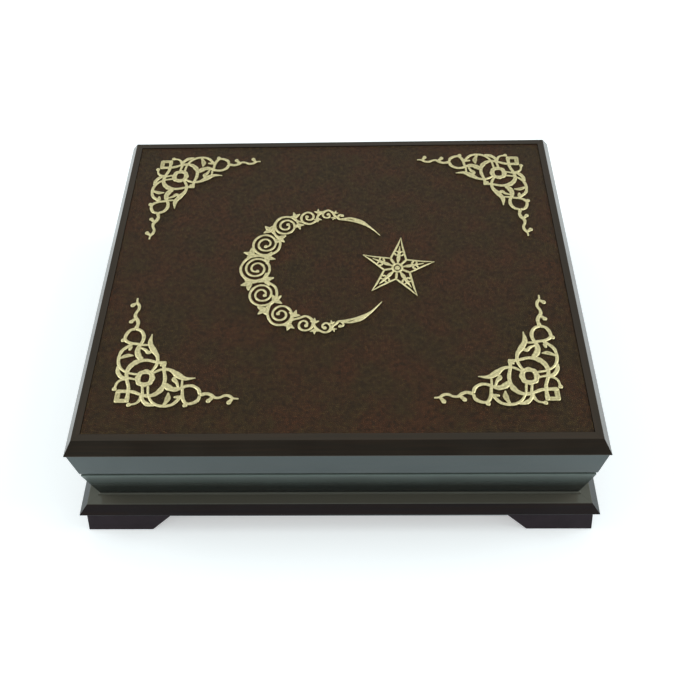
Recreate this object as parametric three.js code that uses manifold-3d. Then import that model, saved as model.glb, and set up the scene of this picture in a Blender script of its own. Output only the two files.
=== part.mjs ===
// A quran box: a low lidded book box of dark lacquered wood with a leather panel,
// gilt openwork mounts on the lid, bracket feet and two brass stop hinges at the back.
// +Z is up, the front faces -Y, and the origin is on the ground under the middle of the box.
import * as THREE from "three";
import { mergeVertices } from "three/addons/utils/BufferGeometryUtils.js";
import Module from "manifold-3d";

const wasm = await Module();
wasm.setup();

// Sizes are in millimetres. The well holds the book, and the walls are built outward from it.
const wellWidth = 318;
const wellDepth = 268;

// Gaps between pieces
const glueLine = 0.1;
const mitreGap = 0.3;
const clearance = 0.3;
const lidGap = 0.3;

// Base walls, measured at their foot, with the outward lean of their outer face
const wallThickness = 8.8;
const baseWallHeight = 33.1;
const baseWallLean = 4.7;

// Lid walls carry the same lean on upward
const lidWallHeight = 28.9;
const lidWallLean = 2;

// Bevelled frame round the top of the lid
const frameOverhang = 0.9;
const frameBevelWidth = 6;
const frameHeight = 10.5;
const frameLipHeight = 0.8;
const borderWidth = 5;
const boardSeatWidth = 7.5;

// Board and leather let into the frame
const boardThickness = 6;
const leatherThickness = 0.9;
const leatherRecess = 0.5;

// Plinth moulding under the base walls
const ledgeWidth = 8.1;
const plinthBevelWidth = 6.2;
const plinthBevelHeight = 6.3;
const ledgeEdgeRadius = 0.9;
const beadRadius = 1.4;
const bottomThickness = 5.4;
const bottomSeatWidth = 5;

// Bracket feet
const footHeight = 24.2;
const footSetback = 1.3;
const footThickness = 9;
const footLength = 46.5;
const footCutWidth = 21.5;
const footSplay = 3;

// Strip along the underside of the plinth, between the feet of each side
const apronHeight = 1.2;
const apronThickness = 3;
const apronSetback = 0.4;
const apronOverlap = 5;

// Velvet linings
const liningThickness = 1.5;
const floorPadThickness = 2;
const lidPadThickness = 2.6;

// Hinges
const hingeInset = 59;
const leafLength = 40;
const leafThickness = 1.2;
const leafInWall = 9;
const knuckleRadius = 2.6;
const pinRadius = 1.1;
const pinHeadRadius = 1.8;
const pinHeadLength = 1.2;
const pinCrownRadius = 1.1;
const wingReach = 3.2;
const knuckleRoot = 1;
const openAngle = 100;

// Screws of the hinge leaves
const screwInset = 7;
const screwLength = 8;
const screwHeadRadius = 2.4;
const screwShankRadius = 1.1;
const screwPointLength = 2;
const screwSlotWidth = 0.7;
const screwSlotDepth = 0.5;

// Gilt mounts
const mountThickness = 1;
const cornerArmLength = 86;
const cornerSideMargin = 19.4;
const cornerFrontMargin = 24.7;
const cornerBackMargin = 16.6;
const moonX = -16;
const moonY = 2.4;
const moonRadius = 56.5;
const scrollStroke = 1.9;
const starX = 44;
const starY = 2;
const starRadius = 28.2;
const starTurn = 7.5;
const starBorder = 1.5;

// Proportions of the ornaments
const mountDepthRatio = 1.1;
const moonHollowShare = 0.799;
const moonOffsetShare = 0.249;
const scrollPitch = 0.92;
const scrollEyeShare = 0.22;
const scrollSpacing = 2.1;
const smallestScroll = 3.6;
const stemHug = 0.9;
const gapLeafShare = 0.33;
const hornPlaces = [0.2, 0.45, 0.72, 1];
const hornLeafPlaces = [0.02, 0.2, 0.42];
const hornLeafWidths = [0.08, 0.3, 0.06];
const starRingShare = 0.52;
const starSpokeShare = 0.4;
const starLeafShares = [0.45, 0.95, 1.6, 2.2];
const starLeafWidths = [0.033, 0.107, 0.073, 0.033];

// Sides of round pieces and steps of curves
const knuckleSides = 14;
const smallSides = 10;
const holeSides = 8;
const scrollSteps = 10;
const railCurveSteps = 4;
const plateCurveSteps = 3;

// Outward distances from the faces of the well
const jointOut = wallThickness + baseWallLean;
const lidTopOut = jointOut + lidWallLean;
const frameOut = lidTopOut + frameOverhang;
const flatOut = frameOut - frameBevelWidth;
const borderIn = flatOut - borderWidth;
const boardSeatIn = borderIn - boardSeatWidth;
const ledgeOut = wallThickness + ledgeWidth;
const plinthOut = ledgeOut + plinthBevelWidth;
const footOut = plinthOut - footSetback;

// Heights above the ground
const plinthBottom = footHeight + glueLine;
const ledgeLevel = plinthBottom + plinthBevelHeight;
const plinthTop = ledgeLevel + beadRadius;
const baseWallBottom = plinthTop + glueLine;
const baseWallTop = baseWallBottom + baseWallHeight;
const lidWallBottom = baseWallTop + lidGap;
const lidWallTop = lidWallBottom + lidWallHeight;
const frameBottom = lidWallTop + glueLine;
const frameTop = frameBottom + frameHeight;
const leatherTop = frameTop - leatherRecess;
const leatherBottom = leatherTop - leatherThickness;
const boardTop = leatherBottom - glueLine;
const boardBottom = boardTop - boardThickness;
const boardSeat = boardBottom - glueLine;
const bottomPanelBottom = plinthBottom;
const bottomPanelTop = bottomPanelBottom + bottomThickness;
const bottomSeat = bottomPanelTop + glueLine;
const floorPadBottom = bottomSeat;
const floorPadTop = floorPadBottom + floorPadThickness;
const mountBottom = leatherTop + glueLine;
const moonHollowRadius = moonRadius * moonHollowShare;
const moonHollowOffset = moonRadius * moonOffsetShare;

// Hinge axis and its reliefs
const knuckleSwing = knuckleRadius + clearance;
const hingeY = wellDepth / 2 + jointOut + knuckleSwing;
const hingeZ = baseWallTop + lidGap / 2;
const boreRadius = pinRadius + clearance;
const knuckleLength = leafLength / 3;
const screwSpacing = leafLength - 2 * screwInset;
const screwDepth = knuckleSwing + leafInWall / 2;

// Materials with the colours of the real surfaces
function finish(color, roughness, metalness) {
  return new THREE.MeshStandardMaterial({ color, roughness, metalness });
}

const lacquer = finish(0x1f1c19, 0.2, 0);
const footStain = finish(0x332c30, 0.5, 0);
const board = finish(0x6b4a2f, 0.7, 0);
const leather = finish(0x3b2e27, 0.6, 0);
const gilt = finish(0xd9cf86, 0.35, 1);
const velvet = finish(0x1d3b2a, 0.95, 0);
const brass = finish(0xb08d45, 0.35, 1);

// A closed geometry as a solid that can be joined and cut
function solidOf(geometry) {
  const bare = geometry.clone();
  bare.deleteAttribute("normal");
  bare.deleteAttribute("uv");
  const merged = mergeVertices(bare, 1e-4);
  const mesh = new wasm.Mesh({
    numProp: 3,
    vertProperties: merged.attributes.position.array,
    triVerts: new Uint32Array(merged.index.array),
  });
  return new wasm.Manifold(mesh);
}

function geometryOf(solid) {
  const mesh = solid.getMesh();
  const geometry = new THREE.BufferGeometry();
  geometry.setAttribute("position", new THREE.BufferAttribute(mesh.vertProperties, 3));
  geometry.setIndex(new THREE.BufferAttribute(mesh.triVerts, 1));
  geometry.computeVertexNormals();
  return geometry;
}

function join(solids) {
  return solids.reduce((whole, next) => whole.add(next));
}

function piece(parent, name, geometry, material) {
  const mesh = new THREE.Mesh(geometry, material);
  mesh.name = name;
  parent.add(mesh);
  return mesh;
}

function block(width, depth, height, x, y, z) {
  return new THREE.BoxGeometry(width, depth, height).translate(x, y, z);
}

// A flat panel that lies loosely between faces a distance outside the well
function panel(out, bottom, top) {
  const reach = 2 * (out - clearance);
  const middle = (bottom + top) / 2;
  return block(wellWidth + reach, wellDepth + reach, top - bottom, 0, 0, middle);
}

// The four sides of the box, each drawn as the front and turned into place
const sides = [
  { name: "front", turn: 0, half: wellWidth / 2, reach: wellDepth / 2 },
  { name: "right", turn: Math.PI / 2, half: wellDepth / 2, reach: wellWidth / 2 },
  { name: "back", turn: Math.PI, half: wellWidth / 2, reach: wellDepth / 2 },
  { name: "left", turn: -Math.PI / 2, half: wellDepth / 2, reach: wellWidth / 2 },
];

// A rail along one side: a section of outward distance and height, with mitred ends
function mitredRail(section, side) {
  const cut = mitreGap / Math.SQRT2;
  const options = { depth: 1, bevelEnabled: false, curveSegments: railCurveSteps };
  const geometry = new THREE.ExtrudeGeometry(section, options);
  const points = geometry.attributes.position;
  for (let i = 0; i < points.count; i++) {
    const out = points.getX(i);
    const end = points.getZ(i) > 0.5 ? -1 : 1;
    points.setXYZ(i, end * (side.half + out - cut), -(side.reach + out), points.getY(i));
  }
  return geometry;
}

function outline(points) {
  return new THREE.Shape(points.map(([x, y]) => new THREE.Vector2(x, y)));
}

function frameSection() {
  return outline([
    [boardSeatIn, frameBottom],
    [frameOut, frameBottom],
    [frameOut, frameBottom + frameLipHeight],
    [flatOut, frameTop],
    [borderIn, frameTop],
    [borderIn, boardSeat],
    [boardSeatIn, boardSeat],
  ]);
}

function lidWallSection() {
  return outline([
    [0, lidWallBottom],
    [jointOut, lidWallBottom],
    [lidTopOut, lidWallTop],
    [0, lidWallTop],
  ]);
}

function baseWallSection() {
  return outline([
    [0, baseWallBottom],
    [wallThickness, baseWallBottom],
    [jointOut, baseWallTop],
    [0, baseWallTop],
  ]);
}

// The ledge ends in a rounded edge, and a quarter round bead rises from it to the wall
function plinthSection() {
  const seatOut = bottomSeatWidth;
  const section = new THREE.Shape();
  section.moveTo(seatOut, plinthBottom);
  section.lineTo(plinthOut, plinthBottom);
  section.lineTo(ledgeOut, ledgeLevel - ledgeEdgeRadius);
  section.quadraticCurveTo(ledgeOut, ledgeLevel, ledgeOut - ledgeEdgeRadius, ledgeLevel);
  section.lineTo(wallThickness + beadRadius, ledgeLevel);
  section.absarc(wallThickness, ledgeLevel, beadRadius, 0, Math.PI / 2, false);
  section.lineTo(0, plinthTop);
  section.lineTo(0, bottomSeat);
  section.lineTo(seatOut, bottomSeat);
  return section;
}

function liningSection(bottom, top) {
  return outline([
    [-glueLine - liningThickness, bottom],
    [-glueLine, bottom],
    [-glueLine, top],
    [-glueLine - liningThickness, top],
  ]);
}

function addRails(parent, name, section, material) {
  for (const side of sides) {
    const rail = piece(parent, `${name}_${side.name}`, mitredRail(section, side), material);
    rail.rotation.z = side.turn;
  }
}

// Hinge mortises and screw holes in the back walls, cut where the hinges lie
function hingePlaces() {
  return [hingeInset - wellWidth / 2, wellWidth / 2 - hingeInset];
}

function cutForHinges(geometry, up) {
  const rim = hingeZ + up * (lidGap / 2);
  const depth = leafThickness + clearance;
  const length = leafInWall + clearance;
  let solid = solidOf(geometry);
  for (const x of hingePlaces()) {
    const outer = hingeY - knuckleSwing;
    const middle = -(outer - length / 2 + clearance);
    const width = leafLength + 2 * clearance;
    const mortise = block(width, length + 2 * clearance, 2 * depth, x, middle, rim);
    solid = solid.subtract(solidOf(mortise));
    for (const along of [-screwSpacing / 2, screwSpacing / 2]) {
      const radius = screwShankRadius + clearance;
      const deep = screwLength + clearance;
      const hole = new THREE.CylinderGeometry(radius, radius, deep, holeSides).rotateX(Math.PI / 2);
      hole.translate(x + along, -(hingeY - screwDepth), rim + (up * deep) / 2);
      solid = solid.subtract(solidOf(hole));
    }
  }
  return geometryOf(solid);
}

function addWalls(parent, name, section, up) {
  for (const side of sides) {
    const plain = mitredRail(section, side);
    const geometry = side.name === "back" ? cutForHinges(plain, up) : plain;
    const wall = piece(parent, `${name}_${side.name}`, geometry, lacquer);
    wall.rotation.z = side.turn;
  }
}

// A bracket of a foot: it splays outward to the ground, is mitred at the corner and cut on
// the slope at its inner end
function footBracket(side) {
  const cut = mitreGap / Math.SQRT2;
  const face = outline([
    [0, 0],
    [footLength, 0],
    [footLength + footCutWidth, footHeight],
    [0, footHeight],
  ]);
  const options = { depth: footThickness, bevelEnabled: false };
  const geometry = new THREE.ExtrudeGeometry(face, options);
  const points = geometry.attributes.position;
  for (let i = 0; i < points.count; i++) {
    const along = points.getX(i);
    const out = footOut - (footSplay * points.getY(i)) / footHeight - points.getZ(i);
    const x = along > 0 ? side.half + footOut - along : side.half + out - cut;
    points.setXYZ(i, x, -(side.reach + out), points.getY(i));
  }
  return geometry;
}

function addFeet(parent) {
  sides.forEach((side, i) => {
    const next = sides[(i + 1) % 4].name;
    const last = sides[(i + 3) % 4].name;
    const geometry = footBracket(side);
    const one = piece(parent, `foot_${side.name}_by_${next}`, geometry, footStain);
    one.rotation.z = side.turn;
    const other = piece(parent, `foot_${side.name}_by_${last}`, geometry, footStain);
    other.rotation.z = side.turn;
    other.scale.x = -1;
  });
}

// The strip along the underside of the plinth passes a little in front of the sloping cuts of
// the two feet. It starts inside the plinth, so that the two are one solid.
function apronStrip(side) {
  const half = side.half + footOut - footLength - footCutWidth + apronOverlap;
  const inner = side.reach + plinthOut - apronSetback - apronThickness;
  const bottom = plinthBottom - apronHeight;
  const top = plinthBottom + clearance;
  const middle = (bottom + top) / 2;
  return block(2 * half, apronThickness, top - bottom, 0, -inner - apronThickness / 2, middle);
}

function addPlinth(parent) {
  for (const side of sides) {
    const parts = [mitredRail(plinthSection(), side), apronStrip(side)];
    const geometry = geometryOf(join(parts.map(solidOf)));
    const plinth = piece(parent, `plinth_${side.name}`, geometry, lacquer);
    plinth.rotation.z = side.turn;
  }
}

// One hinge round its own axis, along X: Y is backward from the box, and Z is up
function leafSolid(up) {
  const ownKnuckles = up > 0 ? [0] : [-knuckleLength, knuckleLength];
  const knuckleGap = clearance / 2;
  const plateMiddle = up * (lidGap / 2 + leafThickness / 2);
  const wingMiddle = (up * leafThickness) / 2;
  const wingOut = knuckleSwing + wingReach / 2;
  const rootLength = knuckleSwing + knuckleRoot;
  const leafOut = knuckleSwing + leafInWall / 2;
  const touch = Math.atan2(clearance, wingOut);
  const wingAngle = (THREE.MathUtils.degToRad(openAngle) + touch) / 2;
  const plateBlock = block(leafLength, leafInWall, leafThickness, 0, -leafOut, plateMiddle);
  const wing = block(leafLength, wingReach, leafThickness, 0, wingOut, wingMiddle);
  const solids = [plateBlock, wing.rotateX(up * wingAngle)];
  for (const x of ownKnuckles) {
    const outer = x !== 0;
    const width = knuckleLength - (outer ? knuckleGap : 2 * knuckleGap);
    const middle = x + Math.sign(x) * (knuckleGap / 2);
    const barrel = new THREE.CylinderGeometry(knuckleRadius, knuckleRadius, width, knuckleSides);
    solids.push(barrel.rotateZ(Math.PI / 2).translate(middle, 0, 0));
    solids.push(block(width, rootLength, leafThickness, middle, -rootLength / 2, plateMiddle));
    const wingRoot = block(width, rootLength, leafThickness, middle, rootLength / 2, wingMiddle);
    solids.push(wingRoot.rotateX(up * wingAngle));
  }
  const boreLength = leafLength + 2 * clearance;
  const bore = new THREE.CylinderGeometry(boreRadius, boreRadius, boreLength, smallSides);
  bore.rotateZ(Math.PI / 2);
  let leaf = join(solids.map(solidOf)).subtract(solidOf(bore));
  for (const x of [-screwSpacing / 2, screwSpacing / 2]) {
    const wide = screwHeadRadius + clearance;
    const narrow = screwShankRadius + clearance;
    const sink = new THREE.CylinderGeometry(narrow, wide, leafThickness, smallSides);
    sink.rotateX((up * Math.PI) / 2).translate(x, -screwDepth, plateMiddle);
    leaf = leaf.subtract(solidOf(sink));
  }
  return leaf;
}

function pinGeometry() {
  const half = leafLength / 2 + clearance;
  const end = half + pinHeadLength;
  const profile = [
    [0, -end],
    [pinCrownRadius, -end],
    [pinHeadRadius, -end + pinHeadLength / 2],
    [pinHeadRadius, -half],
    [pinRadius, -half],
    [pinRadius, half],
    [pinHeadRadius, half],
    [pinHeadRadius, end - pinHeadLength / 2],
    [pinCrownRadius, end],
    [0, end],
  ];
  const points = profile.map(([r, h]) => new THREE.Vector2(r, h));
  return new THREE.LatheGeometry(points, smallSides).rotateZ(Math.PI / 2);
}

// A countersunk screw with its head at the top, pointing down
function screwGeometry() {
  const profile = [
    [0, -screwLength],
    [screwShankRadius, -screwLength + screwPointLength],
    [screwShankRadius, -leafThickness],
    [screwHeadRadius, 0],
    [0, 0],
  ];
  const points = profile.map(([r, h]) => new THREE.Vector2(r, h));
  const body = solidOf(new THREE.LatheGeometry(points, smallSides).rotateX(Math.PI / 2));
  const slotLength = 2 * (screwHeadRadius + clearance);
  const slot = block(slotLength, screwSlotWidth, 2 * screwSlotDepth, 0, 0, 0);
  return geometryOf(body.subtract(solidOf(slot)));
}

function addHinges(parent) {
  const leaves = { lid: geometryOf(leafSolid(1)), base: geometryOf(leafSolid(-1)) };
  const pin = pinGeometry();
  const screw = screwGeometry();
  hingePlaces().forEach((x, i) => {
    const side = i === 0 ? "left" : "right";
    const hinge = new THREE.Group();
    hinge.position.set(x, hingeY, hingeZ);
    parent.add(hinge);
    piece(hinge, `hinge_pin_${side}`, pin, brass);
    for (const [part, up] of [["lid", 1], ["base", -1]]) {
      piece(hinge, `hinge_leaf_${part}_${side}`, leaves[part], brass);
      [-1, 1].forEach((end, n) => {
        const name = `hinge_screw_${part}_${side}_${n + 1}`;
        const fastener = piece(hinge, name, screw, brass);
        fastener.position.set((end * screwSpacing) / 2, -screwDepth, (up * lidGap) / 2);
        fastener.rotation.x = up > 0 ? Math.PI : 0;
      });
    }
  });
}

// A flat ribbon along a curve through the points, whose width runs through the widths
function ribbon(points, widths, steps) {
  const path = new THREE.CatmullRomCurve3(
    points.map(([x, y]) => new THREE.Vector3(x, y, 0)),
    false,
    "centripetal",
  );
  const left = [];
  const right = [];
  for (let i = 0; i <= steps; i++) {
    const t = i / steps;
    const place = t * (widths.length - 1);
    const low = Math.min(Math.floor(place), widths.length - 2);
    const half = THREE.MathUtils.lerp(widths[low], widths[low + 1], place - low) / 2;
    const at = path.getPoint(t);
    const along = path.getTangent(t);
    left.push([at.x - along.y * half, at.y + along.x * half]);
    right.unshift([at.x + along.y * half, at.y - along.x * half]);
  }
  return plate(outline([...left, ...right]));
}

function plate(shape) {
  const options = { depth: mountThickness, bevelEnabled: false, curveSegments: plateCurveSteps };
  return solidOf(new THREE.ExtrudeGeometry(shape, options));
}

function disc(x, y, radius, holeRadius) {
  const shape = new THREE.Shape();
  shape.absarc(x, y, radius, 0, 2 * Math.PI, false);
  if (holeRadius) {
    const hole = new THREE.Path();
    hole.absarc(x, y, holeRadius, 0, 2 * Math.PI, true);
    shape.holes.push(hole);
  }
  return plate(shape);
}

// The corner mount is the same on both sides of its diagonal. Each strand of one half is
// given by points measured from the two outer edges of the mount, and its widths. The
// drawing is scaled so that its arms get the reach of the mount.
const cornerStrands = [
  { widths: [2.8, 2.6, 2.1, 2.2, 1.3], steps: 6,
    points: [[9, 60], [10, 64.5], [9, 67.5], [7, 70.5], [7.2, 73.5], [8.6, 76.5],
      [8.3, 79.5], [6.5, 82.5], [6.2, 86]] },
  { widths: [2.2, 3], steps: 1, points: [[8.4, 69.4], [5, 66.2]] },
  { widths: [2, 2.6], steps: 1, points: [[7.2, 82.2], [3.8, 79.8]] },
  { widths: [2.4, 2.4, 2.4, 2.8, 4.4, 3.6], steps: 6,
    points: [[9, 60], [13, 58.6], [15.6, 54.6], [15.6, 50.2], [14, 46.7], [13.2, 42.3],
      [14.6, 38.5], [17.5, 35.4]] },
  { widths: [2.4, 2.4, 2.4, 2.4, 2.2, 1.6], steps: 6,
    points: [[9, 60], [5.4, 59], [3, 55], [3.2, 51.3], [7, 48.8], [12, 48], [16, 47.2], [20.4, 47]] },
  { widths: [1.8, 2.2, 2.8, 4.4, 3.6, 0.8], steps: 6,
    points: [[24.8, 25.4], [28, 32], [27.6, 38], [24.2, 43], [21.1, 48.5], [21.4, 55.8]] },
  { widths: [2.2, 3, 1.4], steps: 2, points: [[23, 42.6], [21, 41], [18.6, 43.2], [14.5, 45]] },
  { widths: [2.6, 2.4, 2.6, 3.8, 3.2, 2.4, 2.4, 2.6, 3.2], steps: 8,
    points: [[32.4, 32.8], [27, 33.8], [20.5, 35.2], [14.5, 34.2], [10.4, 31], [8.6, 26.5],
      [9.6, 20.5], [11.6, 15], [12, 10], [12, 3.6]] },
  { widths: [3.2, 3.4], steps: 1, points: [[13.4, 5.2], [3.6, 5.2]] },
  { widths: [2.2, 2.2, 1.8, 1.8], steps: 2,
    points: [[10.5, 20.8], [6.4, 20.7], [3.4, 18.6], [2.4, 14.6]] },
  { widths: [1.8, 1.8, 2.2, 2.4, 2.4, 2.4], steps: 6,
    points: [[16.4, 24.4], [9, 25.8], [4.2, 28.8], [1.7, 33], [1.2, 38], [2.2, 42.3],
      [5.4, 45.6], [9, 48]] },
  { widths: [3.6, 1.6], steps: 1, points: [[7.8, 47], [7.6, 42.6]] },
  { widths: [1.8, 2, 2.8, 3, 1.8], steps: 4,
    points: [[16, 20.6], [11, 21.6], [6, 22.2], [2.6, 26], [1.6, 31]] },
  { widths: [0.9, 3.6, 1.8], steps: 2, points: [[11.2, 38.8], [7, 39], [1.6, 36.8]] },
];

// Balls at the ends of strands, and the rosette and nub on the diagonal, in the same drawing
const cornerBalls = { radius: 1.7, places: [[4.8, 66], [3.6, 79.7], [1.8, 51], [2.3, 13.8]] };
const rosette = { x: 21.6, outer: 6.9, inner: 3 };
const cornerNub = { x: 32.4, size: 4.6 };

function cornerMount() {
  const drawnReach = Math.max(...cornerStrands.flatMap((strand) => strand.points.flat()));
  const scale = cornerArmLength / drawnReach;
  const solids = [];
  for (const mirrored of [false, true]) {
    const placed = ([u, v]) => (mirrored ? [v * scale, u * scale] : [u * scale, v * scale]);
    for (const strand of cornerStrands) {
      const widths = strand.widths.map((width) => width * scale);
      solids.push(ribbon(strand.points.map(placed), widths, strand.steps));
    }
    for (const place of cornerBalls.places) {
      const [x, y] = placed(place);
      solids.push(disc(x, y, cornerBalls.radius * scale));
    }
  }
  const eye = rosette.x * scale;
  solids.push(disc(eye, eye, rosette.outer * scale, rosette.inner * scale));
  const low = (cornerNub.x - cornerNub.size / 2) * scale;
  const high = (cornerNub.x + cornerNub.size / 2) * scale;
  solids.push(plate(outline([[low, low], [high, low], [high, high], [low, high]])));
  return geometryOf(join(solids));
}

function addCornerMounts(parent) {
  const geometry = cornerMount();
  const sideX = wellWidth / 2 + flatOut - cornerSideMargin;
  const rows = [
    { name: "front", y: -(wellDepth / 2 + flatOut - cornerFrontMargin), inward: 1 },
    { name: "back", y: wellDepth / 2 + flatOut - cornerBackMargin, inward: -1 },
  ];
  for (const row of rows) {
    for (const [name, right] of [["left", -1], ["right", 1]]) {
      const mount = piece(parent, `corner_mount_${row.name}_${name}`, geometry, gilt);
      mount.position.set(right * sideX, row.y, mountBottom);
      mount.scale.set(-right, row.inward * mountDepthRatio, 1);
    }
  }
}

// The crescent lies between an outer circle and a hollow circle set off to the right
function crescentBand(angle) {
  const direction = new THREE.Vector2(Math.cos(angle), Math.sin(angle));
  const across = moonHollowOffset * direction.y;
  const inner = moonHollowOffset * direction.x + Math.sqrt(moonHollowRadius ** 2 - across ** 2);
  return { direction, inner, middle: (moonRadius + inner) / 2, width: moonRadius - inner };
}

// A point of the band: side runs from -1 at its inner edge to 1 at its outer edge
function inBand(angle, side) {
  const band = crescentBand(angle);
  const reach = Math.max(band.width - scrollStroke, 0) / 2;
  return band.direction.clone().multiplyScalar(band.middle + side * reach).toArray();
}

// The curls from horn to horn, each with the edge at which the stem passes over it
function crescentCurls() {
  const rows = [-1, 1].map((way) => {
    const row = [];
    let angle = Math.PI;
    let crest = 1;
    let band = crescentBand(angle);
    while (band.width > smallestScroll * scrollStroke) {
      row.push({ angle, crest });
      angle += (way * scrollPitch * band.width) / band.middle;
      crest = -crest;
      band = crescentBand(angle);
    }
    return row;
  });
  return [...rows[0].reverse(), ...rows[1].slice(1)];
}

// A point round the middle of a curl, turned onward from its crest
function roundCurl(cell, radius, turned) {
  const band = crescentBand(cell.angle);
  const onward = new THREE.Vector2(-band.direction.y, band.direction.x);
  const point = band.direction.clone().multiplyScalar(band.middle);
  point.addScaledVector(band.direction, cell.crest * radius * Math.cos(turned));
  return point.addScaledVector(onward, radius * Math.sin(turned)).toArray();
}

function curlRadius(cell) {
  return (crescentBand(cell.angle).width - scrollStroke) / 2;
}

// A curl winds inward from the stem at the crest of a wave and ends in a ball
function curl(cell) {
  const radius = curlRadius(cell);
  const eye = Math.max(radius * scrollEyeShare, scrollStroke / 2);
  const turns = Math.max((radius - eye) / (scrollSpacing * scrollStroke), 0.5);
  const points = [];
  for (let i = 0; i <= scrollSteps; i++) {
    const t = i / scrollSteps;
    points.push(roundCurl(cell, THREE.MathUtils.lerp(radius, eye, t), turns * 2 * Math.PI * t));
  }
  const [endX, endY] = points[scrollSteps];
  return [ribbon(points, [scrollStroke, scrollStroke], 2 * scrollSteps), disc(endX, endY, scrollStroke)];
}

// Three-pointed leaves on short stalks that fill the gaps between two curls, toward both edges of the band
const leafHalf = [[0.14, -0.55], [0.14, 0], [0.75, 0.5], [0.2, 0.45]];
const leafOutline = [...leafHalf, [0, 1], ...leafHalf.map(([across, up]) => [-across, up]).reverse()];

function gapLeaves(angle) {
  const { direction, middle, width } = crescentBand(angle);
  const size = gapLeafShare * width;
  return [-1, 1].map((side) => {
    const points = leafOutline.map(([across, up]) => {
      const out = middle + side * (width / 2 + (up - 1) * size);
      const x = direction.x * out + side * direction.y * across * size;
      return [x, direction.y * out - side * direction.x * across * size];
    });
    return plate(outline(points));
  });
}

// A running scroll: the stem waves from horn to horn, and a second line closes each horn
function crescentMount() {
  const cells = crescentCurls();
  const across = moonHollowOffset ** 2 + moonRadius ** 2 - moonHollowRadius ** 2;
  const tip = Math.acos(across / (2 * moonHollowOffset * moonRadius));
  const stem = [];
  const solids = [];
  cells.forEach((cell, i) => {
    stem.push(...[-stemHug, 0, stemHug].map((turned) => roundCurl(cell, curlRadius(cell), turned)));
    solids.push(...curl(cell));
    if (i === cells.length - 1) return;
    const between = (cell.angle + cells[i + 1].angle) / 2;
    stem.push(inBand(between, 0));
    solids.push(...gapLeaves(between));
  });
  for (const end of [0, 1]) {
    const cell = cells[end * (cells.length - 1)];
    const at = (place) => THREE.MathUtils.lerp(cell.angle, end ? 2 * Math.PI - tip : tip, place);
    const crossed = hornPlaces.map((place, i) => inBand(at(place), i === 0 ? 0 : -cell.crest));
    const near = [0, ...hornPlaces].map((place) => inBand(at(place), cell.crest));
    if (end) stem.push(...crossed);
    else stem.unshift(...crossed.reverse());
    solids.push(ribbon(near, [scrollStroke, scrollStroke, 0.8 * scrollStroke, 0.5], 8));
    const leafWidth = crescentBand(cell.angle).width;
    const leaf = hornLeafPlaces.map((place) => inBand(at(hornPlaces[0] + place), 0));
    solids.push(ribbon(leaf, hornLeafWidths.map((share) => share * leafWidth), 4));
  }
  const full = Array(stem.length - 4).fill(scrollStroke * 1.1);
  const widths = [0.5, 0.8 * scrollStroke, ...full, 0.8 * scrollStroke, 0.5];
  solids.push(ribbon(stem, widths, 3 * stem.length));
  return geometryOf(join(solids));
}

// Five points, an inner ring and a leaf in each point
function starShape(radius) {
  const waist = (radius * Math.sin(Math.PI / 10)) / Math.sin((7 * Math.PI) / 10);
  const points = [];
  for (let i = 0; i < 10; i++) {
    const r = i % 2 === 0 ? radius : waist;
    const angle = Math.PI / 2 + (i * Math.PI) / 5;
    points.push([r * Math.cos(angle), r * Math.sin(angle)]);
  }
  return points;
}

function starMount() {
  const edgeDistance = starRadius * Math.sin(Math.PI / 10);
  const shape = outline(starShape(starRadius));
  const inner = starRadius * (1 - starBorder / edgeDistance);
  shape.holes.push(new THREE.Path(outline(starShape(inner)).getPoints()));
  const ring = edgeDistance * starRingShare;
  const leafWidths = starLeafWidths.map((share) => share * starRadius);
  const solids = [plate(shape), disc(0, 0, ring, ring - scrollStroke)];
  for (let i = 0; i < 5; i++) {
    const angle = Math.PI / 2 + (i * 2 * Math.PI) / 5;
    const out = [Math.cos(angle), Math.sin(angle)];
    const notch = angle + Math.PI / 5;
    const waist = edgeDistance / Math.cos(Math.PI / 5);
    const corner = [waist * Math.cos(notch), waist * Math.sin(notch)];
    const spoke = [corner, corner.map((value) => value * starSpokeShare)];
    solids.push(ribbon(spoke, [scrollStroke, scrollStroke], 1));
    const leaf = starLeafShares.map((share) => out.map((value) => value * share * edgeDistance));
    solids.push(ribbon(leaf, leafWidths, leaf.length));
  }
  return geometryOf(join(solids));
}

function addLid() {
  const lid = new THREE.Group();
  addRails(lid, "lid_frame", frameSection(), lacquer);
  addWalls(lid, "lid_wall", lidWallSection(), 1);
  piece(lid, "lid_board", panel(borderIn, boardBottom, boardTop), board);
  piece(lid, "lid_leather_panel", panel(borderIn, leatherBottom, leatherTop), leather);
  const pad = panel(boardSeatIn, boardSeat - lidPadThickness, boardSeat);
  piece(lid, "lid_lining_top", pad, velvet);
  addRails(lid, "lid_lining", liningSection(lidWallBottom + clearance, lidWallTop), velvet);
  addCornerMounts(lid);
  const moon = piece(lid, "crescent_mount", crescentMount(), gilt);
  moon.position.set(moonX, moonY, mountBottom);
  moon.scale.y = mountDepthRatio;
  const starPlate = starMount().rotateZ(THREE.MathUtils.degToRad(-starTurn));
  const star = piece(lid, "star_mount", starPlate, gilt);
  star.position.set(starX, starY, mountBottom);
  star.scale.y = mountDepthRatio;
  return lid;
}

function addBase() {
  const base = new THREE.Group();
  addPlinth(base);
  addWalls(base, "base_wall", baseWallSection(), -1);
  const bottom = panel(bottomSeatWidth, bottomPanelBottom, bottomPanelTop);
  piece(base, "bottom_panel", bottom, board);
  const pad = panel(-glueLine - liningThickness, floorPadBottom, floorPadTop);
  piece(base, "base_lining_floor", pad, velvet);
  const lining = liningSection(floorPadBottom, baseWallTop - clearance);
  addRails(base, "base_lining", lining, velvet);
  addFeet(base);
  return base;
}

const quranBox = new THREE.Group();
quranBox.add(addLid(), addBase());
addHinges(quranBox);

export default quranBox;
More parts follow.
